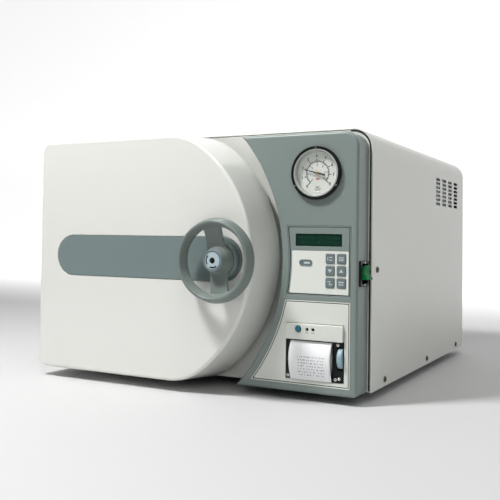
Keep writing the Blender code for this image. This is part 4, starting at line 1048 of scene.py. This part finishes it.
display_hole = box_round("lcd_module", 0.3 * MM, 0.8 * MM, 4)
key_holes = [box_round(f"key_{number}", 0.4 * MM, 1.6 * MM, 5) for number in KEYS]
keypad_groove, keypad_core = inner_edges(KEYPAD_LEVELS, 1.4 * MM, 0.9 * MM)
framed_plate("keypad_frame_plate", KEYPAD_LEVELS, keypad_core, keypad_groove, [display_hole, *key_holes], GREY,
             ["keypad_panel"], 0.5 * MM)
# The dark strip in the keypad's groove is painted shade.
seal_strip("keypad_groove_shade", keypad_groove, keypad_core)
overlay_edge = hollowed(PANEL_INSET + 4.4 * MM, PANEL_RIGHT - 3.0 * MM, KEYPAD_LEVELS[0] + 3.0 * MM,
                        BASE + 180.6 * MM, (1.0 * MM, 1.0 * MM))
overlay = slab(overlay_edge, key_holes, facing_front(FASCIA_FACE + 0.15 * MM), 0.34 * MM, 0.15 * MM, 0.02 * MM)
piece("keypad_overlay", overlay, KEY_WHITE, "root", ())
print(f"display {1000 * (DISPLAY_HIGH.x - DISPLAY_LOW.x):.1f} mm wide; key holes: {len(key_holes)}")

# %% Display
DISPLAY_GREEN = finish("display_green", (0.003, 0.036, 0.019), (0.001, 0.020, 0.010), (0.14, 0.20),
                       (600, 0.002), 25, Specular_IOR_Level=0.35)
display = slab(box_round("lcd_module", 0.0, 0.5 * MM, 4), [], facing_front(FASCIA_FACE + 1.4 * MM), 7.0 * MM,
               0.3 * MM)
piece("display_glass", display, DISPLAY_GREEN, "root", ["lcd_module"])
CELL_GREEN = finish("cell_green", (0.004, 0.040, 0.022), (0.002, 0.030, 0.016), (0.24, 0.30), (900, 0.002), 30)
cells = Skin()
pitch = (DISPLAY_HIGH.x - DISPLAY_LOW.x - 5 * MM) / 16
for row in range(2):
    for column in range(16):
        x = DISPLAY_LOW.x + 2.5 * MM + (column + 0.14) * pitch
        z = DISPLAY_LOW.z + 2.2 * MM + row * 5.9 * MM
        slab(rounded_box(x, x + 0.72 * pitch, z, z + 4.8 * MM, 0.1 * MM, 2), [],
             facing_front(FASCIA_FACE + 1.36 * MM), 0.05 * MM, 0.005 * MM, 0.005 * MM, cells)
piece("display_cells", cells, CELL_GREEN, "root", (), creases=30)
print(f"character cells {1000 * pitch:.2f} mm apart")

# %% Keys, legends and lamp
LEGEND = finish("legend_white", (0.56, 0.60, 0.60), (0.52, 0.56, 0.56), (0.40, 0.48), (3000, 0.003), 60)


def legend_shapes(number):
    """Outlines on a unit square for each key: bars, a down and an up triangle, and bars again."""
    def bar(x0, x1, z0, z1):
        return [(x0, z0), (x1, z0), (x1, z1), (x0, z1)]

    return {1: [bar(-.28, -.20, -.2, .2), bar(-.08, .28, .10, .2), bar(-.08, .28, -.2, -.10)],
            2: [bar(-.28, .28, .12, .2), bar(-.28, .28, -.04, .04), bar(-.28, .28, -.2, -.12)],
            3: [[(-.26, .16), (0, -.22), (.26, .16)]],
            4: [[(-.26, -.16), (.26, -.16), (0, .22)]],
            5: [bar(-.28, .10, .12, .2), bar(-.10, .28, -.2, -.12), bar(-.04, .04, -.12, .12)],
            6: [bar(-.28, -.02, .02, .2), bar(.06, .28, .02, .2), bar(-.28, .28, -.2, -.10)]}[number]


for number, (low, high) in KEYS.items():
    body = f"key_{number}"
    tile = slab(box_round(body, 0.0, 1.2 * MM, 5), [], facing_front(low.y), high.y - low.y, 0.45 * MM)
    piece(f"key_tile_{number}", tile, KEY_GREY, body, [f"key_{number}"])
    middle, size = (low + high) / 2, high.x - low.x
    legend = Skin()
    for shape in legend_shapes(number):
        flat = np.array([(middle.x, middle.z)]) + size * np.array(shape)
        legend.capped(np.stack([facing_front(low.y)(flat, d) for d in (-0.08 * MM, 0.05 * MM)]))
    piece(f"key_legend_{number}", legend, LEGEND, body, creases=30)

LAMP_X, LAMP_Z = RIGHT - 76.1 * MM, BASE + 165.2 * MM
lamp_outer, lamp_inner, lamp_lens = (round_about(LAMP_X, LAMP_Z, half_x * MM, half_z * MM, half_z * MM, 12)
                                     for half_x, half_z in ((9.2, 4.2), (7.6, 2.7), (7.5, 2.6)))
lamp_ring = slab(lamp_outer, [lamp_inner], facing_front(FASCIA_FACE - 0.5 * MM), 0.7 * MM, 0.4 * MM, 0.02 * MM)
piece("status_lamp_ring", lamp_ring, KEY_GREY, "root")
lens_dark = slab(lamp_lens, [], facing_front(FASCIA_FACE - 0.3 * MM), 0.5 * MM, 0.25 * MM, 0.02 * MM)
piece("status_lamp_lens", lens_dark, KEY_GREY, "root")
label = slab(round_about(LAMP_X + 1.8 * MM, LAMP_Z, 4.4 * MM, 1.3 * MM, 1.2 * MM, 6), [],
             facing_front(FASCIA_FACE - 0.38 * MM), 0.1 * MM, 0.03 * MM, 0.01 * MM)
piece("status_lamp_label", label, LEGEND, "root")
print("keys:", len(KEYS))

# %% [markdown]
# ## The printer
# A cream plate closes the lower part of the fascia. Set in it are the printer's head, with its button and
# two lamps, and a black cradle with the paper. The paper strip leaves the head, bows forwards and hangs
# down. Its print is a pattern of short dashes in rows, drawn by the material on the strip's own UV map.

# %% Printer panel, head and cradle
HEAD_LOW, HEAD_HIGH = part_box("printer_head")
CRADLE_LOW, CRADLE_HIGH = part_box("printer_cradle")
printer_opening = rounded_box(HEAD_LOW.x - 0.6 * MM, HEAD_HIGH.x + 0.6 * MM, CRADLE_LOW.z - 0.6 * MM,
                              HEAD_HIGH.z + 0.6 * MM, 1.2 * MM, 5)
printer_groove, printer_core = inner_edges(PRINTER_LEVELS, 1.5 * MM, 1.0 * MM)
framed_plate("printer_cover_plate", PRINTER_LEVELS, printer_core, printer_groove, [printer_opening], CREAM,
             ["printer_panel"], 0.3 * MM)
# The dark strip in the printer panel's groove is painted shade.
seal_strip("printer_groove_shade", printer_groove, printer_core)

BUTTON_X, _, BUTTON_Z = centre_of("feed_button")
LED_PLACES = [(RIGHT - 71.5 * MM, BUTTON_Z), (RIGHT - 63.3 * MM, BUTTON_Z)]
head_holes = [round_outline(BUTTON_X, BUTTON_Z, 4.3 * MM, 32)]
head_holes += [round_outline(*place, 1.9 * MM, 20) for place in LED_PLACES]
head = slab(box_round("printer_head", 0.0, 1.5 * MM, 6), head_holes, facing_front(HEAD_LOW.y),
            HEAD_HIGH.y - HEAD_LOW.y, 1.0 * MM)
piece("printer_head_cover", head, CREAM, "root", ["printer_head"])
for number, (x, z) in enumerate(LED_PLACES, 1):
    dome = np.array([(0.0, 0.5), (0.9, 0.38), (1.5, 0.0), (1.75, -0.8), (1.75, -4.0), (0.0, -4.0)]) * MM
    piece(f"printer_lamp_{number}", turned(dome, (x, HEAD_LOW.y, z), TO_FRONT, 24), BLACK, "root", creases=50)
    mark = round_about(x, z - 4.25 * MM, 2.2 * MM, 0.35 * MM, 0.2 * MM, 3)
    piece(f"printer_lamp_mark_{number}", stamp(Skin(), mark, HEAD_LOW.y - 0.06 * MM), KEY_GREY, creases=30)
button = soften(np.array([(0.0, 1.5), (2.8, 1.5), (3.95, 0.7), (3.95, -6.8), (0.0, -6.8)]) * MM, 0.7 * MM)
piece("feed_button_cap", turned(button, (BUTTON_X, HEAD_LOW.y, BUTTON_Z), TO_FRONT, 40), TEAL, "feed_button",
      ["feed_button"], creases=50)

PAPER_LOW, PAPER_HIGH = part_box("paper_strip")
KNOB_LOW, KNOB_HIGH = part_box("feed_knob")
pocket = rounded_box(PAPER_LOW.x - 0.4 * MM, PAPER_HIGH.x + 0.4 * MM, CRADLE_LOW.z + 1.6 * MM,
                     CRADLE_HIGH.z - 1.2 * MM, 1.0 * MM, 4)
knob_slot = rounded_box(KNOB_LOW.x - 0.8 * MM, CRADLE_HIGH.x - 1.1 * MM, KNOB_LOW.z - 1.0 * MM,
                        KNOB_HIGH.z + 1.0 * MM, 1.0 * MM, 4)


def cradle_form():
    """A front frame round two wells; each well has its own walls and floor."""
    skin = Skin()
    place = facing_front(CRADLE_LOW.y)
    depth = CRADLE_HIGH.y - CRADLE_LOW.y
    outer = box_round("printer_cradle", 0.0, 1.0 * MM, 4)
    shell = skin.carry(outer, place, soft_edge(0.5 * MM, 3, (0.0, depth)))
    skin.fill(shell[-1])
    wells = []
    for shape, deep in ((pocket, depth - 2 * MM), (knob_slot, KNOB_HIGH.y - CRADLE_LOW.y + 1 * MM)):
        well = skin.carry(shape, place, soft_edge(0.5 * MM, 3, (0.0, deep)), hole=True)
        skin.fill(well[-1])
        wells.append(well[0])
    skin.fill(shell[0], *wells)
    return skin


piece("printer_cradle_frame", cradle_form(), BLACK, "root", ["printer_cradle"])
for number, (x, z) in enumerate(((CRADLE_LOW.x + 3.2 * MM, CRADLE_LOW.z + 4.0 * MM),
                                 (CRADLE_HIGH.x - 5.6 * MM, CRADLE_LOW.z + 5.2 * MM),
                                 (CRADLE_HIGH.x - 10.6 * MM, CRADLE_LOW.z + 4.0 * MM),
                                 (CRADLE_HIGH.x - 7.6 * MM, CRADLE_HIGH.z - 3.2 * MM)), 1):
    screw(f"cradle_screw_{number}", (x, CRADLE_LOW.y, z), TO_FRONT, 2.3 * MM, 1.1 * MM, CHROME,
          turn=30 * number)
print(f"paper well {1000 * (PAPER_HIGH.x - PAPER_LOW.x):.1f} mm wide")


# %% Paper and feed knob
def printed_paper():
    """White paper with rows of dashes: a row mask along V times a chopped noise along U."""
    made = finish("printed_paper", (0.93, 0.94, 0.95), (0.91, 0.92, 0.93), (0.55, 0.65), (1500, 0.01), 20)
    tree = made.node_tree
    shader = tree.nodes["Principled BSDF"]
    plain = shader.inputs["Base Color"].links[0].from_socket
    chart = tree.nodes.new("ShaderNodeUVMap").outputs["UV"]
    split = tree.nodes.new("ShaderNodeSeparateXYZ")
    tree.links.new(chart, split.inputs["Vector"])

    def maths(operation, first, second=None):
        node = tree.nodes.new("ShaderNodeMath")
        node.operation = operation
        for socket, value in zip(node.inputs, (first, second)):
            if value is None:
                continue
            if isinstance(value, (int, float)):
                socket.default_value = value
            else:
                tree.links.new(value, socket)
        return node.outputs["Value"]

    rows = maths("MULTIPLY", split.outputs["Y"], 13.0)
    row_mask = maths("LESS_THAN", maths("FRACT", rows), 0.42)
    join = tree.nodes.new("ShaderNodeCombineXYZ")
    tree.links.new(maths("MULTIPLY", split.outputs["X"], 30.0), join.inputs["X"])
    tree.links.new(maths("FLOOR", rows), join.inputs["Y"])
    chop = tree.nodes.new("ShaderNodeTexNoise")
    chop.inputs["Scale"].default_value = 1.0
    chop.inputs["Detail"].default_value = 1.0
    tree.links.new(join.outputs["Vector"], chop.inputs["Vector"])
    dash = maths("GREATER_THAN", chop.outputs["Fac"], 0.50)
    side = maths("MULTIPLY", maths("GREATER_THAN", split.outputs["X"], 0.22),
                 maths("LESS_THAN", split.outputs["X"], 0.86))
    span = maths("MULTIPLY", maths("GREATER_THAN", split.outputs["Y"], 0.38),
                 maths("LESS_THAN", split.outputs["Y"], 0.93))
    ink = maths("MULTIPLY", maths("MULTIPLY", row_mask, dash), maths("MULTIPLY", side, span))
    mix = tree.nodes.new("ShaderNodeMix")
    mix.data_type = "RGBA"
    mix.inputs["B"].default_value = (0.16, 0.17, 0.19, 1.0)
    tree.links.new(maths("MULTIPLY", ink, 0.75), mix.inputs["Factor"])
    tree.links.new(plain, mix.inputs["A"])
    tree.links.new(mix.outputs["Result"], shader.inputs["Base Color"])
    return made


def paper_strip():
    """Height falls evenly; the bow forwards is sin(pi t^0.8), and a slight roll curls the sides back."""
    t = np.linspace(0, 1, 40)[:, None]
    u = np.linspace(0, 1, 24)[None, :]
    top, bottom = PAPER_HIGH.z + 1.6 * MM, PAPER_LOW.z - 1.4 * MM
    x = PAPER_LOW.x + u * (PAPER_HIGH.x - PAPER_LOW.x) + 0 * t
    z = top + t * (bottom - top) + 0 * u
    bow = 7.6 * MM * np.sin(np.pi * t ** 0.8) + 2.2 * MM * t
    y = FASCIA_FACE + 1.2 * MM - bow + 0.5 * MM * (2 * u - 1) ** 2 * t
    front = np.stack([x, y, z], -1)
    mesh = bpy.data.meshes.new("paper_strip_sheet")
    rows, columns = front.shape[:2]
    index = np.arange(rows * columns).reshape(rows, columns)
    quads = np.stack([index[:-1, :-1], index[1:, :-1], index[1:, 1:], index[:-1, 1:]], -1).reshape(-1, 4)
    mesh.from_pydata(front.reshape(-1, 3).tolist(), [], quads.tolist())
    chart = mesh.uv_layers.new(name="strip")
    corners = np.empty(len(mesh.loops), np.int32)
    mesh.loops.foreach_get("vertex_index", corners)
    flat = np.stack([u + 0 * t, t + 0 * u], -1).reshape(-1, 2)
    chart.data.foreach_set("uv", flat[corners].ravel())
    made = settle("paper_strip_sheet", mesh, printed_paper(), "root", ["paper_strip"], weighted=False)
    thick = made.modifiers.new("paper thickness", "SOLIDIFY")
    thick.thickness, thick.offset = 0.25 * MM, 1.0


PAPER = finish("plain_paper", (0.78, 0.79, 0.80), (0.74, 0.75, 0.76), (0.55, 0.65), (1500, 0.01), 20)
paper_strip()
ROLL_LOW, ROLL_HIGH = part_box("paper_roll")
ROLL_CENTRE = centre_of("paper_roll")
roll_radius = (ROLL_HIGH.z - ROLL_LOW.z) / 2
roll = np.array([(5.5, 0.0), (roll_radius / MM - 0.3, 0.0), (roll_radius / MM, 0.3)])
roll_length = (ROLL_HIGH.x - ROLL_LOW.x) / MM
roll = np.concatenate([roll, roll[::-1] * [1, -1] + [0, roll_length]]) * MM
piece("paper_roll_wound", turned(roll, (ROLL_LOW.x, ROLL_CENTRE.y, ROLL_CENTRE.z), TO_RIGHT, 64, ring=True),
      PAPER, "paper_roll", ["paper_roll"], creases=40)


def knurled_knob():
    """A disc whose rim is r (1 - k |cos 14 a|): fine finger ribs, fading out at both faces."""
    centre = centre_of("feed_knob")
    radius, width = (KNOB_HIGH.z - KNOB_LOW.z) / 2, KNOB_HIGH.x - KNOB_LOW.x
    a = np.radians(np.linspace(0, 360, 168, endpoint=False))
    section = np.array([(0.30, 0.0), (0.90, 0.0), (0.97, 0.04), (1.0, 0.14), (1.0, 0.86), (0.97, 0.96),
                        (0.90, 1.0), (0.30, 1.0)])
    rib = 1 - 0.022 * np.abs(np.cos(14 * a))[None, :] * (section[:, :1] > 0.95)
    r = radius * section[:, :1] * rib
    x = KNOB_LOW.x + width * section[:, 1:] + 0 * r
    skin = Skin()
    skin.capped(np.stack([x, centre.y + r * np.cos(a), centre.z + r * np.sin(a)], -1))
    return skin


piece("feed_knob_ribbed", knurled_knob(), KNOB_BLUE, "feed_knob", ["feed_knob"], creases=35)
print(f"knob {1000 * (KNOB_HIGH.z - KNOB_LOW.z):.1f} mm across, roll {2000 * roll_radius:.1f} mm")

# %% [markdown]
# ## The power switch
# A black bezel with a well, and a green rocker in it. The rocker's section, seen along the pivot, is a wide
# V with a hollow face; carried across its width and pulled in at both ends, it gets soft edges.

# %% Switch
well = rounded_box(SWITCH_LOW.y + 4.3 * MM, SWITCH_HIGH.y - 4.3 * MM, SWITCH_LOW.z + 3.6 * MM,
                   SWITCH_HIGH.z - 3.6 * MM, 1.0 * MM, 5)
bezel_edge = rounded_box(SWITCH_LOW.y, SWITCH_HIGH.y, SWITCH_LOW.z, SWITCH_HIGH.z, 1.6 * MM, 6)


def flanged_body(edge, well, place, flange, waist, depth, well_depth):
    """A soft-edged flange, a body behind it that is narrower by the waist, and a well sunk in its face."""
    skin = Skin()
    shell = skin.carry(edge, place, soft_edge(1.0 * MM, 4, (0.0, flange), (waist, flange), (waist, depth)))
    skin.fill(shell[-1])
    inner = skin.carry(well, place, soft_edge(0.6 * MM, 3, (0.0, well_depth)), hole=True)
    skin.fill(inner[-1])
    skin.fill(shell[0], inner[0])
    return skin


bezel_depth = SWITCH_HIGH.x - SWITCH_LOW.x
bezel_flange = SWITCH_HIGH.x - FASCIA_HIGH.x - 0.2 * MM
switch_bezel = flanged_body(bezel_edge, well, facing_right(SWITCH_HIGH.x), bezel_flange, 3.2 * MM, bezel_depth,
                            bezel_depth - 3 * MM)
piece("switch_bezel_moulding", switch_bezel, BLACK, "root", ["switch_bezel"], creases=50)
for number, z in enumerate((SWITCH_LOW.z + 2.4 * MM, SWITCH_HIGH.z - 2.4 * MM), 1):
    screw(f"switch_rivet_{number}", (SWITCH_HIGH.x, (SWITCH_LOW.y + SWITCH_HIGH.y) / 2, z), TO_RIGHT, 1.3 * MM,
          0.5 * MM, CHROME)
ROCKER_LOW, ROCKER_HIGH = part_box("switch_rocker")


def rocker_form():
    """The CAD rocker's V section, corners rounded, carried across the width with pulled-in ends."""
    pivot = np.array([FASCIA_HIGH.x - 4.0 * MM, (SWITCH_LOW.z + SWITCH_HIGH.z) / 2])
    half = (ROCKER_HIGH.z - ROCKER_LOW.z) / 2 + 0.7 * MM
    reach = ROCKER_HIGH.x - pivot[0] + 1.6 * MM
    tilt = math.radians(10)
    section = np.array([(-3.0 * MM, -0.72 * half), (0.80 * reach, -0.90 * half), (0.55 * reach, 0.0),
                        (0.80 * reach, 0.90 * half), (-3.0 * MM, 0.72 * half)])
    swung = np.c_[section[:, 0] * math.cos(tilt) - section[:, 1] * math.sin(tilt),
                  section[:, 0] * math.sin(tilt) + section[:, 1] * math.cos(tilt)]
    swung[:, 0] *= reach / swung[:, 0].max() * 0.995
    closed = np.concatenate([swung, swung[:2]])
    loop = soften(closed, 1.3 * MM, 6)[1:-1]
    middle = loop.mean(0)
    across = np.array([0.0, 0.02, 0.05, 0.5, 0.95, 0.98, 1.0])
    shrink = np.array([0.90, 0.965, 1.0, 1.0, 1.0, 0.965, 0.90])
    y = ROCKER_LOW.y + across * (ROCKER_HIGH.y - ROCKER_LOW.y)
    rows = [np.c_[p[:, 0], np.full(len(p), v), p[:, 1]] + [pivot[0], 0, pivot[1]]
            for p, v in ((middle + k * (loop - middle), v) for k, v in zip(shrink, y))]
    skin = Skin()
    skin.capped(np.stack(rows))
    return skin


piece("switch_rocker_green", rocker_form(), ROCKER_GREEN, "switch_rocker", ["switch_rocker"],
      creases=45)
print(f"switch {1000 * (SWITCH_HIGH.y - SWITCH_LOW.y):.0f} x {1000 * (SWITCH_HIGH.z - SWITCH_LOW.z):.1f} mm")

# %% [markdown]
# ## Chamber, disc and seal
# With the door open one looks into a polished vessel. The vessel, its flange, the pressure disc and the
# silicone seal are all turned, so each is only a profile.

# %% Chamber parts
CHAMBER_CENTRE = (CHAMBER_X, FRONT, CHAMBER_Z)
a = np.radians(np.linspace(0, 90, 14))
inside = np.c_[110 * np.cos(a), -345 - 37 * np.sin(a)]
outside = np.c_[113 * np.cos(a), -345 - 40 * np.sin(a)]
inside[-1, 0] = outside[-1, 0] = 0.0
mouth = [(110.0, -1.0), (110.5, -0.5), (112.6, -0.5), (113.0, -1.0)]
vessel = np.concatenate([inside[::-1], mouth, outside]) * MM
piece("chamber_vessel_drawn", turned(vessel, CHAMBER_CENTRE, TO_FRONT, 128), STEEL, "root", ["chamber_vessel"],
      weighted=False, creases=40)
flange = soften(np.array([(113.4, -0.5), (122.0, -0.5), (122.0, -12.5), (113.4, -12.5)]) * MM, 0.6 * MM)
piece("chamber_flange_turned", turned(flange, CHAMBER_CENTRE, TO_FRONT, 128, ring=True), STEEL, "root",
      ["chamber_flange"], creases=40)
disc = soften(np.array([(0.0, 20.2), (30.0, 20.2), (30.0, 16.4), (70.0, 15.2), (112.0, 15.0), (119.0, 14.0),
                        (119.0, 7.0), (108.0, 7.0), (106.0, 8.4), (60.0, 8.6), (0.0, 8.6)]) * MM, 1.2 * MM)
piece("door_disc_pressed", turned(disc, CHAMBER_CENTRE, TO_FRONT, 128), STEEL, "door", ["door_disc"],
      weighted=False, creases=40)
seal = soften(np.array([(109.5, 6.7), (118.5, 6.7), (118.5, 1.2), (116.5, -0.1), (114.5, 1.4), (112.5, -0.1),
                        (109.5, 1.2)]) * MM, 0.8 * MM)
piece("door_seal", turned(seal, CHAMBER_CENTRE, TO_FRONT, 128, ring=True), SILICONE, "door", ["door_gasket"],
      weighted=False, creases=60)

# %% [markdown]
# ## Back of the casing
# The back has a plain panel with the fan's opening behind a wire guard, the mains inlet with its three pins
# and the screws that hold the panel. The guard is rings and spokes of wire: a ring is a turned circle, and
# a spoke is a thin rod.

# %% Back panel, guard and inlet
FAN_X, _, FAN_Z = centre_of("fan_housing")
INLET_X, _, INLET_Z = centre_of("mains_inlet")
INLET_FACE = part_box("mains_inlet")[1].y
PANEL_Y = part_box("rear_panel")[1].y
fan_hole = round_outline(FAN_X, FAN_Z, 43 * MM, 96)
inlet_hole = round_about(INLET_X, INLET_Z, 14.5 * MM, 12 * MM, 1 * MM, 4)
back = slab(arch_plate(4.6 * MM), [fan_hole, inlet_hole], facing_back(PANEL_Y), 2.0 * MM, 0.4 * MM)
piece("rear_panel_sheet", back, ENAMEL, "root", ["rear_panel"])


def wire_ring(skin, radius, wire=0.9 * MM):
    """A round wire bent to a circle: a small circle of points carried round the fan's axis."""
    t = np.radians(np.linspace(0, 360, 8, endpoint=False))
    turned(np.c_[radius + wire * np.cos(t), wire * np.sin(t)], (FAN_X, PANEL_Y + 1.0 * MM, FAN_Z), TO_BACK,
           72, skin, ring=True)


guard = Skin()
for radius in (9, 17, 25, 33, 41):
    wire_ring(guard, radius * MM)
piece("fan_guard_rings", guard, CHROME, "root", weighted=False)
spokes = Skin()
for angle in range(45, 405, 90):
    c, s = math.cos(math.radians(angle)), math.sin(math.radians(angle))
    ray, side = np.array([c, 0.0, s]), np.array([-s, 0.0, c])
    t = np.radians(np.linspace(0, 360, 8, endpoint=False))
    section = 0.8 * MM * (np.cos(t)[:, None] * side + np.sin(t)[:, None] * np.array([0.0, 1.0, 0.0]))
    rows = [np.array([FAN_X, PANEL_Y + 2.4 * MM, FAN_Z]) + r * MM * ray + section for r in (8, 46)]
    spokes.capped(np.stack(rows))
piece("fan_guard_spokes", spokes, CHROME, "root", creases=50)
for number, angle in enumerate(range(45, 405, 90), 1):
    x, z = around(FAN_X, FAN_Z, 52 * MM, angle)
    screw(f"fan_screw_{number}", (x, PANEL_Y, z), TO_BACK, 3.0 * MM, 1.6 * MM, ZINC, turn=17 * number)
for number, (x, z) in enumerate(((LEFT + 18 * MM, TOP - 40 * MM), (LEFT + 18 * MM, BASE + 40 * MM),
                                 (RIGHT - 18 * MM, TOP - 40 * MM), (RIGHT - 18 * MM, BASE + 110 * MM),
                                 ((LEFT + RIGHT) / 2, TOP - 16 * MM), ((LEFT + RIGHT) / 2, BASE + 12 * MM)), 1):
    screw(f"rear_screw_{number}", (x, PANEL_Y, z), TO_BACK, 3.4 * MM, 1.8 * MM, ZINC, turn=31 * number)

socket_hole = round_about(INLET_X, INLET_Z, 11.8 * MM, 8.5 * MM, 3 * MM, 6)
inlet = flanged_body(box_round("mains_inlet", 0.0, 3 * MM, 6), socket_hole, facing_back(INLET_FACE),
                     INLET_FACE - PANEL_Y - 0.3 * MM, 6.3 * MM, 34 * MM, 19 * MM)
piece("mains_inlet_moulding", inlet, BLACK, "root", ["mains_inlet"], creases=50)
for number, (x, z) in enumerate(((-7, -2), (0, 2), (7, -2)), 1):
    pin = slab(round_about(INLET_X + x * MM, INLET_Z + z * MM, 1 * MM, 2.5 * MM, 0.4 * MM, 3), [],
               facing_back(INLET_FACE - 4 * MM), 15.2 * MM, 0.4 * MM)
    piece(f"inlet_pin_{number}", pin, CHROME, "root", creases=50)
print(f"fan opening {1000 * 2 * 43 * MM:.0f} mm across")

# %% [markdown]
# ## The parts behind the covers
# The frame's own shapes are right for the inner parts, so they only get their real finishes.

# %% Finishes for the carried-over parts
CARRIED = {"base_tray": ZINC, "partition_wall": ZINC, "keeper_plate": ZINC, "hinge_bracket_upper": ZINC,
           "hinge_bracket_lower": ZINC, "door_bar": ZINC, "chamber_cradle_front": ZINC,
           "chamber_cradle_rear": ZINC, "hinge_pin": STEEL, "latch_spindle": STEEL, "heater_band": DARK_STEEL,
           "insulation_jacket": WOOL, "water_tank": TANK, "vacuum_pump": CAST, "water_pump": CAST,
           "condenser": CAST, "safety_valve": BRASS, "exhaust_valve": BRASS, "control_board": BOARD,
           "transformer": DARK_STEEL, "fan_housing": BLACK, "fan_rotor": BLACK}
for node, coat in CARRIED.items():
    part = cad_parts[node]
    part.data.materials.clear()
    part.data.materials.append(coat)
left_plain = [name for name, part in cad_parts.items() if not part.hide_render and name not in CARRIED]
print("parts still in their plain CAD finish:", left_plain)

# %% [markdown]
# ## Floor
# The object stands on a plain pale sweep.

# %% Floor
def sweep_paper():
    """Pale paper that glows a little where it rises behind the object, as if lit from behind."""
    made = finish("pale_floor", (0.65, 0.65, 0.65), (0.64, 0.64, 0.64), (0.60, 0.70), (40, 0.01), 1)
    tree = made.node_tree
    split = tree.nodes.new("ShaderNodeSeparateXYZ")
    tree.links.new(tree.nodes.new("ShaderNodeTexCoord").outputs["Object"], split.inputs["Vector"])
    glow = tree.nodes.new("ShaderNodeMapRange")
    glow.inputs["From Min"].default_value, glow.inputs["From Max"].default_value = 0.6, 1.7
    glow.inputs["To Max"].default_value = 0.75
    tree.links.new(split.outputs["Y"], glow.inputs["Value"])
    shader = tree.nodes["Principled BSDF"]
    shader.inputs["Emission Color"].default_value = (1.0, 1.0, 1.0, 1.0)
    tree.links.new(glow.outputs["Result"], shader.inputs["Emission Strength"])
    return made


def floor():
    """A flat that rises behind the object by a quarter of a circle, and then stands upright."""
    rise = np.linspace(0, 1, 24)
    depth = np.concatenate([[-8.0], 1.6 + 0.8 * np.sin(rise * np.pi / 2), [2.4]])
    level = np.concatenate([[0.0], 0.8 * (1 - np.cos(rise * np.pi / 2)), [4.0]])
    across = np.array([-9.0, 9.0])
    grid = np.stack([across[None, :] + 0 * depth[:, None], depth[:, None] + 0 * across,
                     level[:, None] + 0 * across], -1)
    mesh = bpy.data.meshes.new("floor_sweep")
    rows = len(depth)
    faces = [[2 * i, 2 * i + 1, 2 * i + 3, 2 * i + 2] for i in range(rows - 1)]
    mesh.from_pydata(grid.reshape(-1, 3).tolist(), [], faces)
    mesh.shade_smooth()
    mesh.materials.append(sweep_paper())
    made = bpy.data.objects.new("floor_sweep", mesh)
    bpy.context.scene.collection.objects.link(made)


floor()
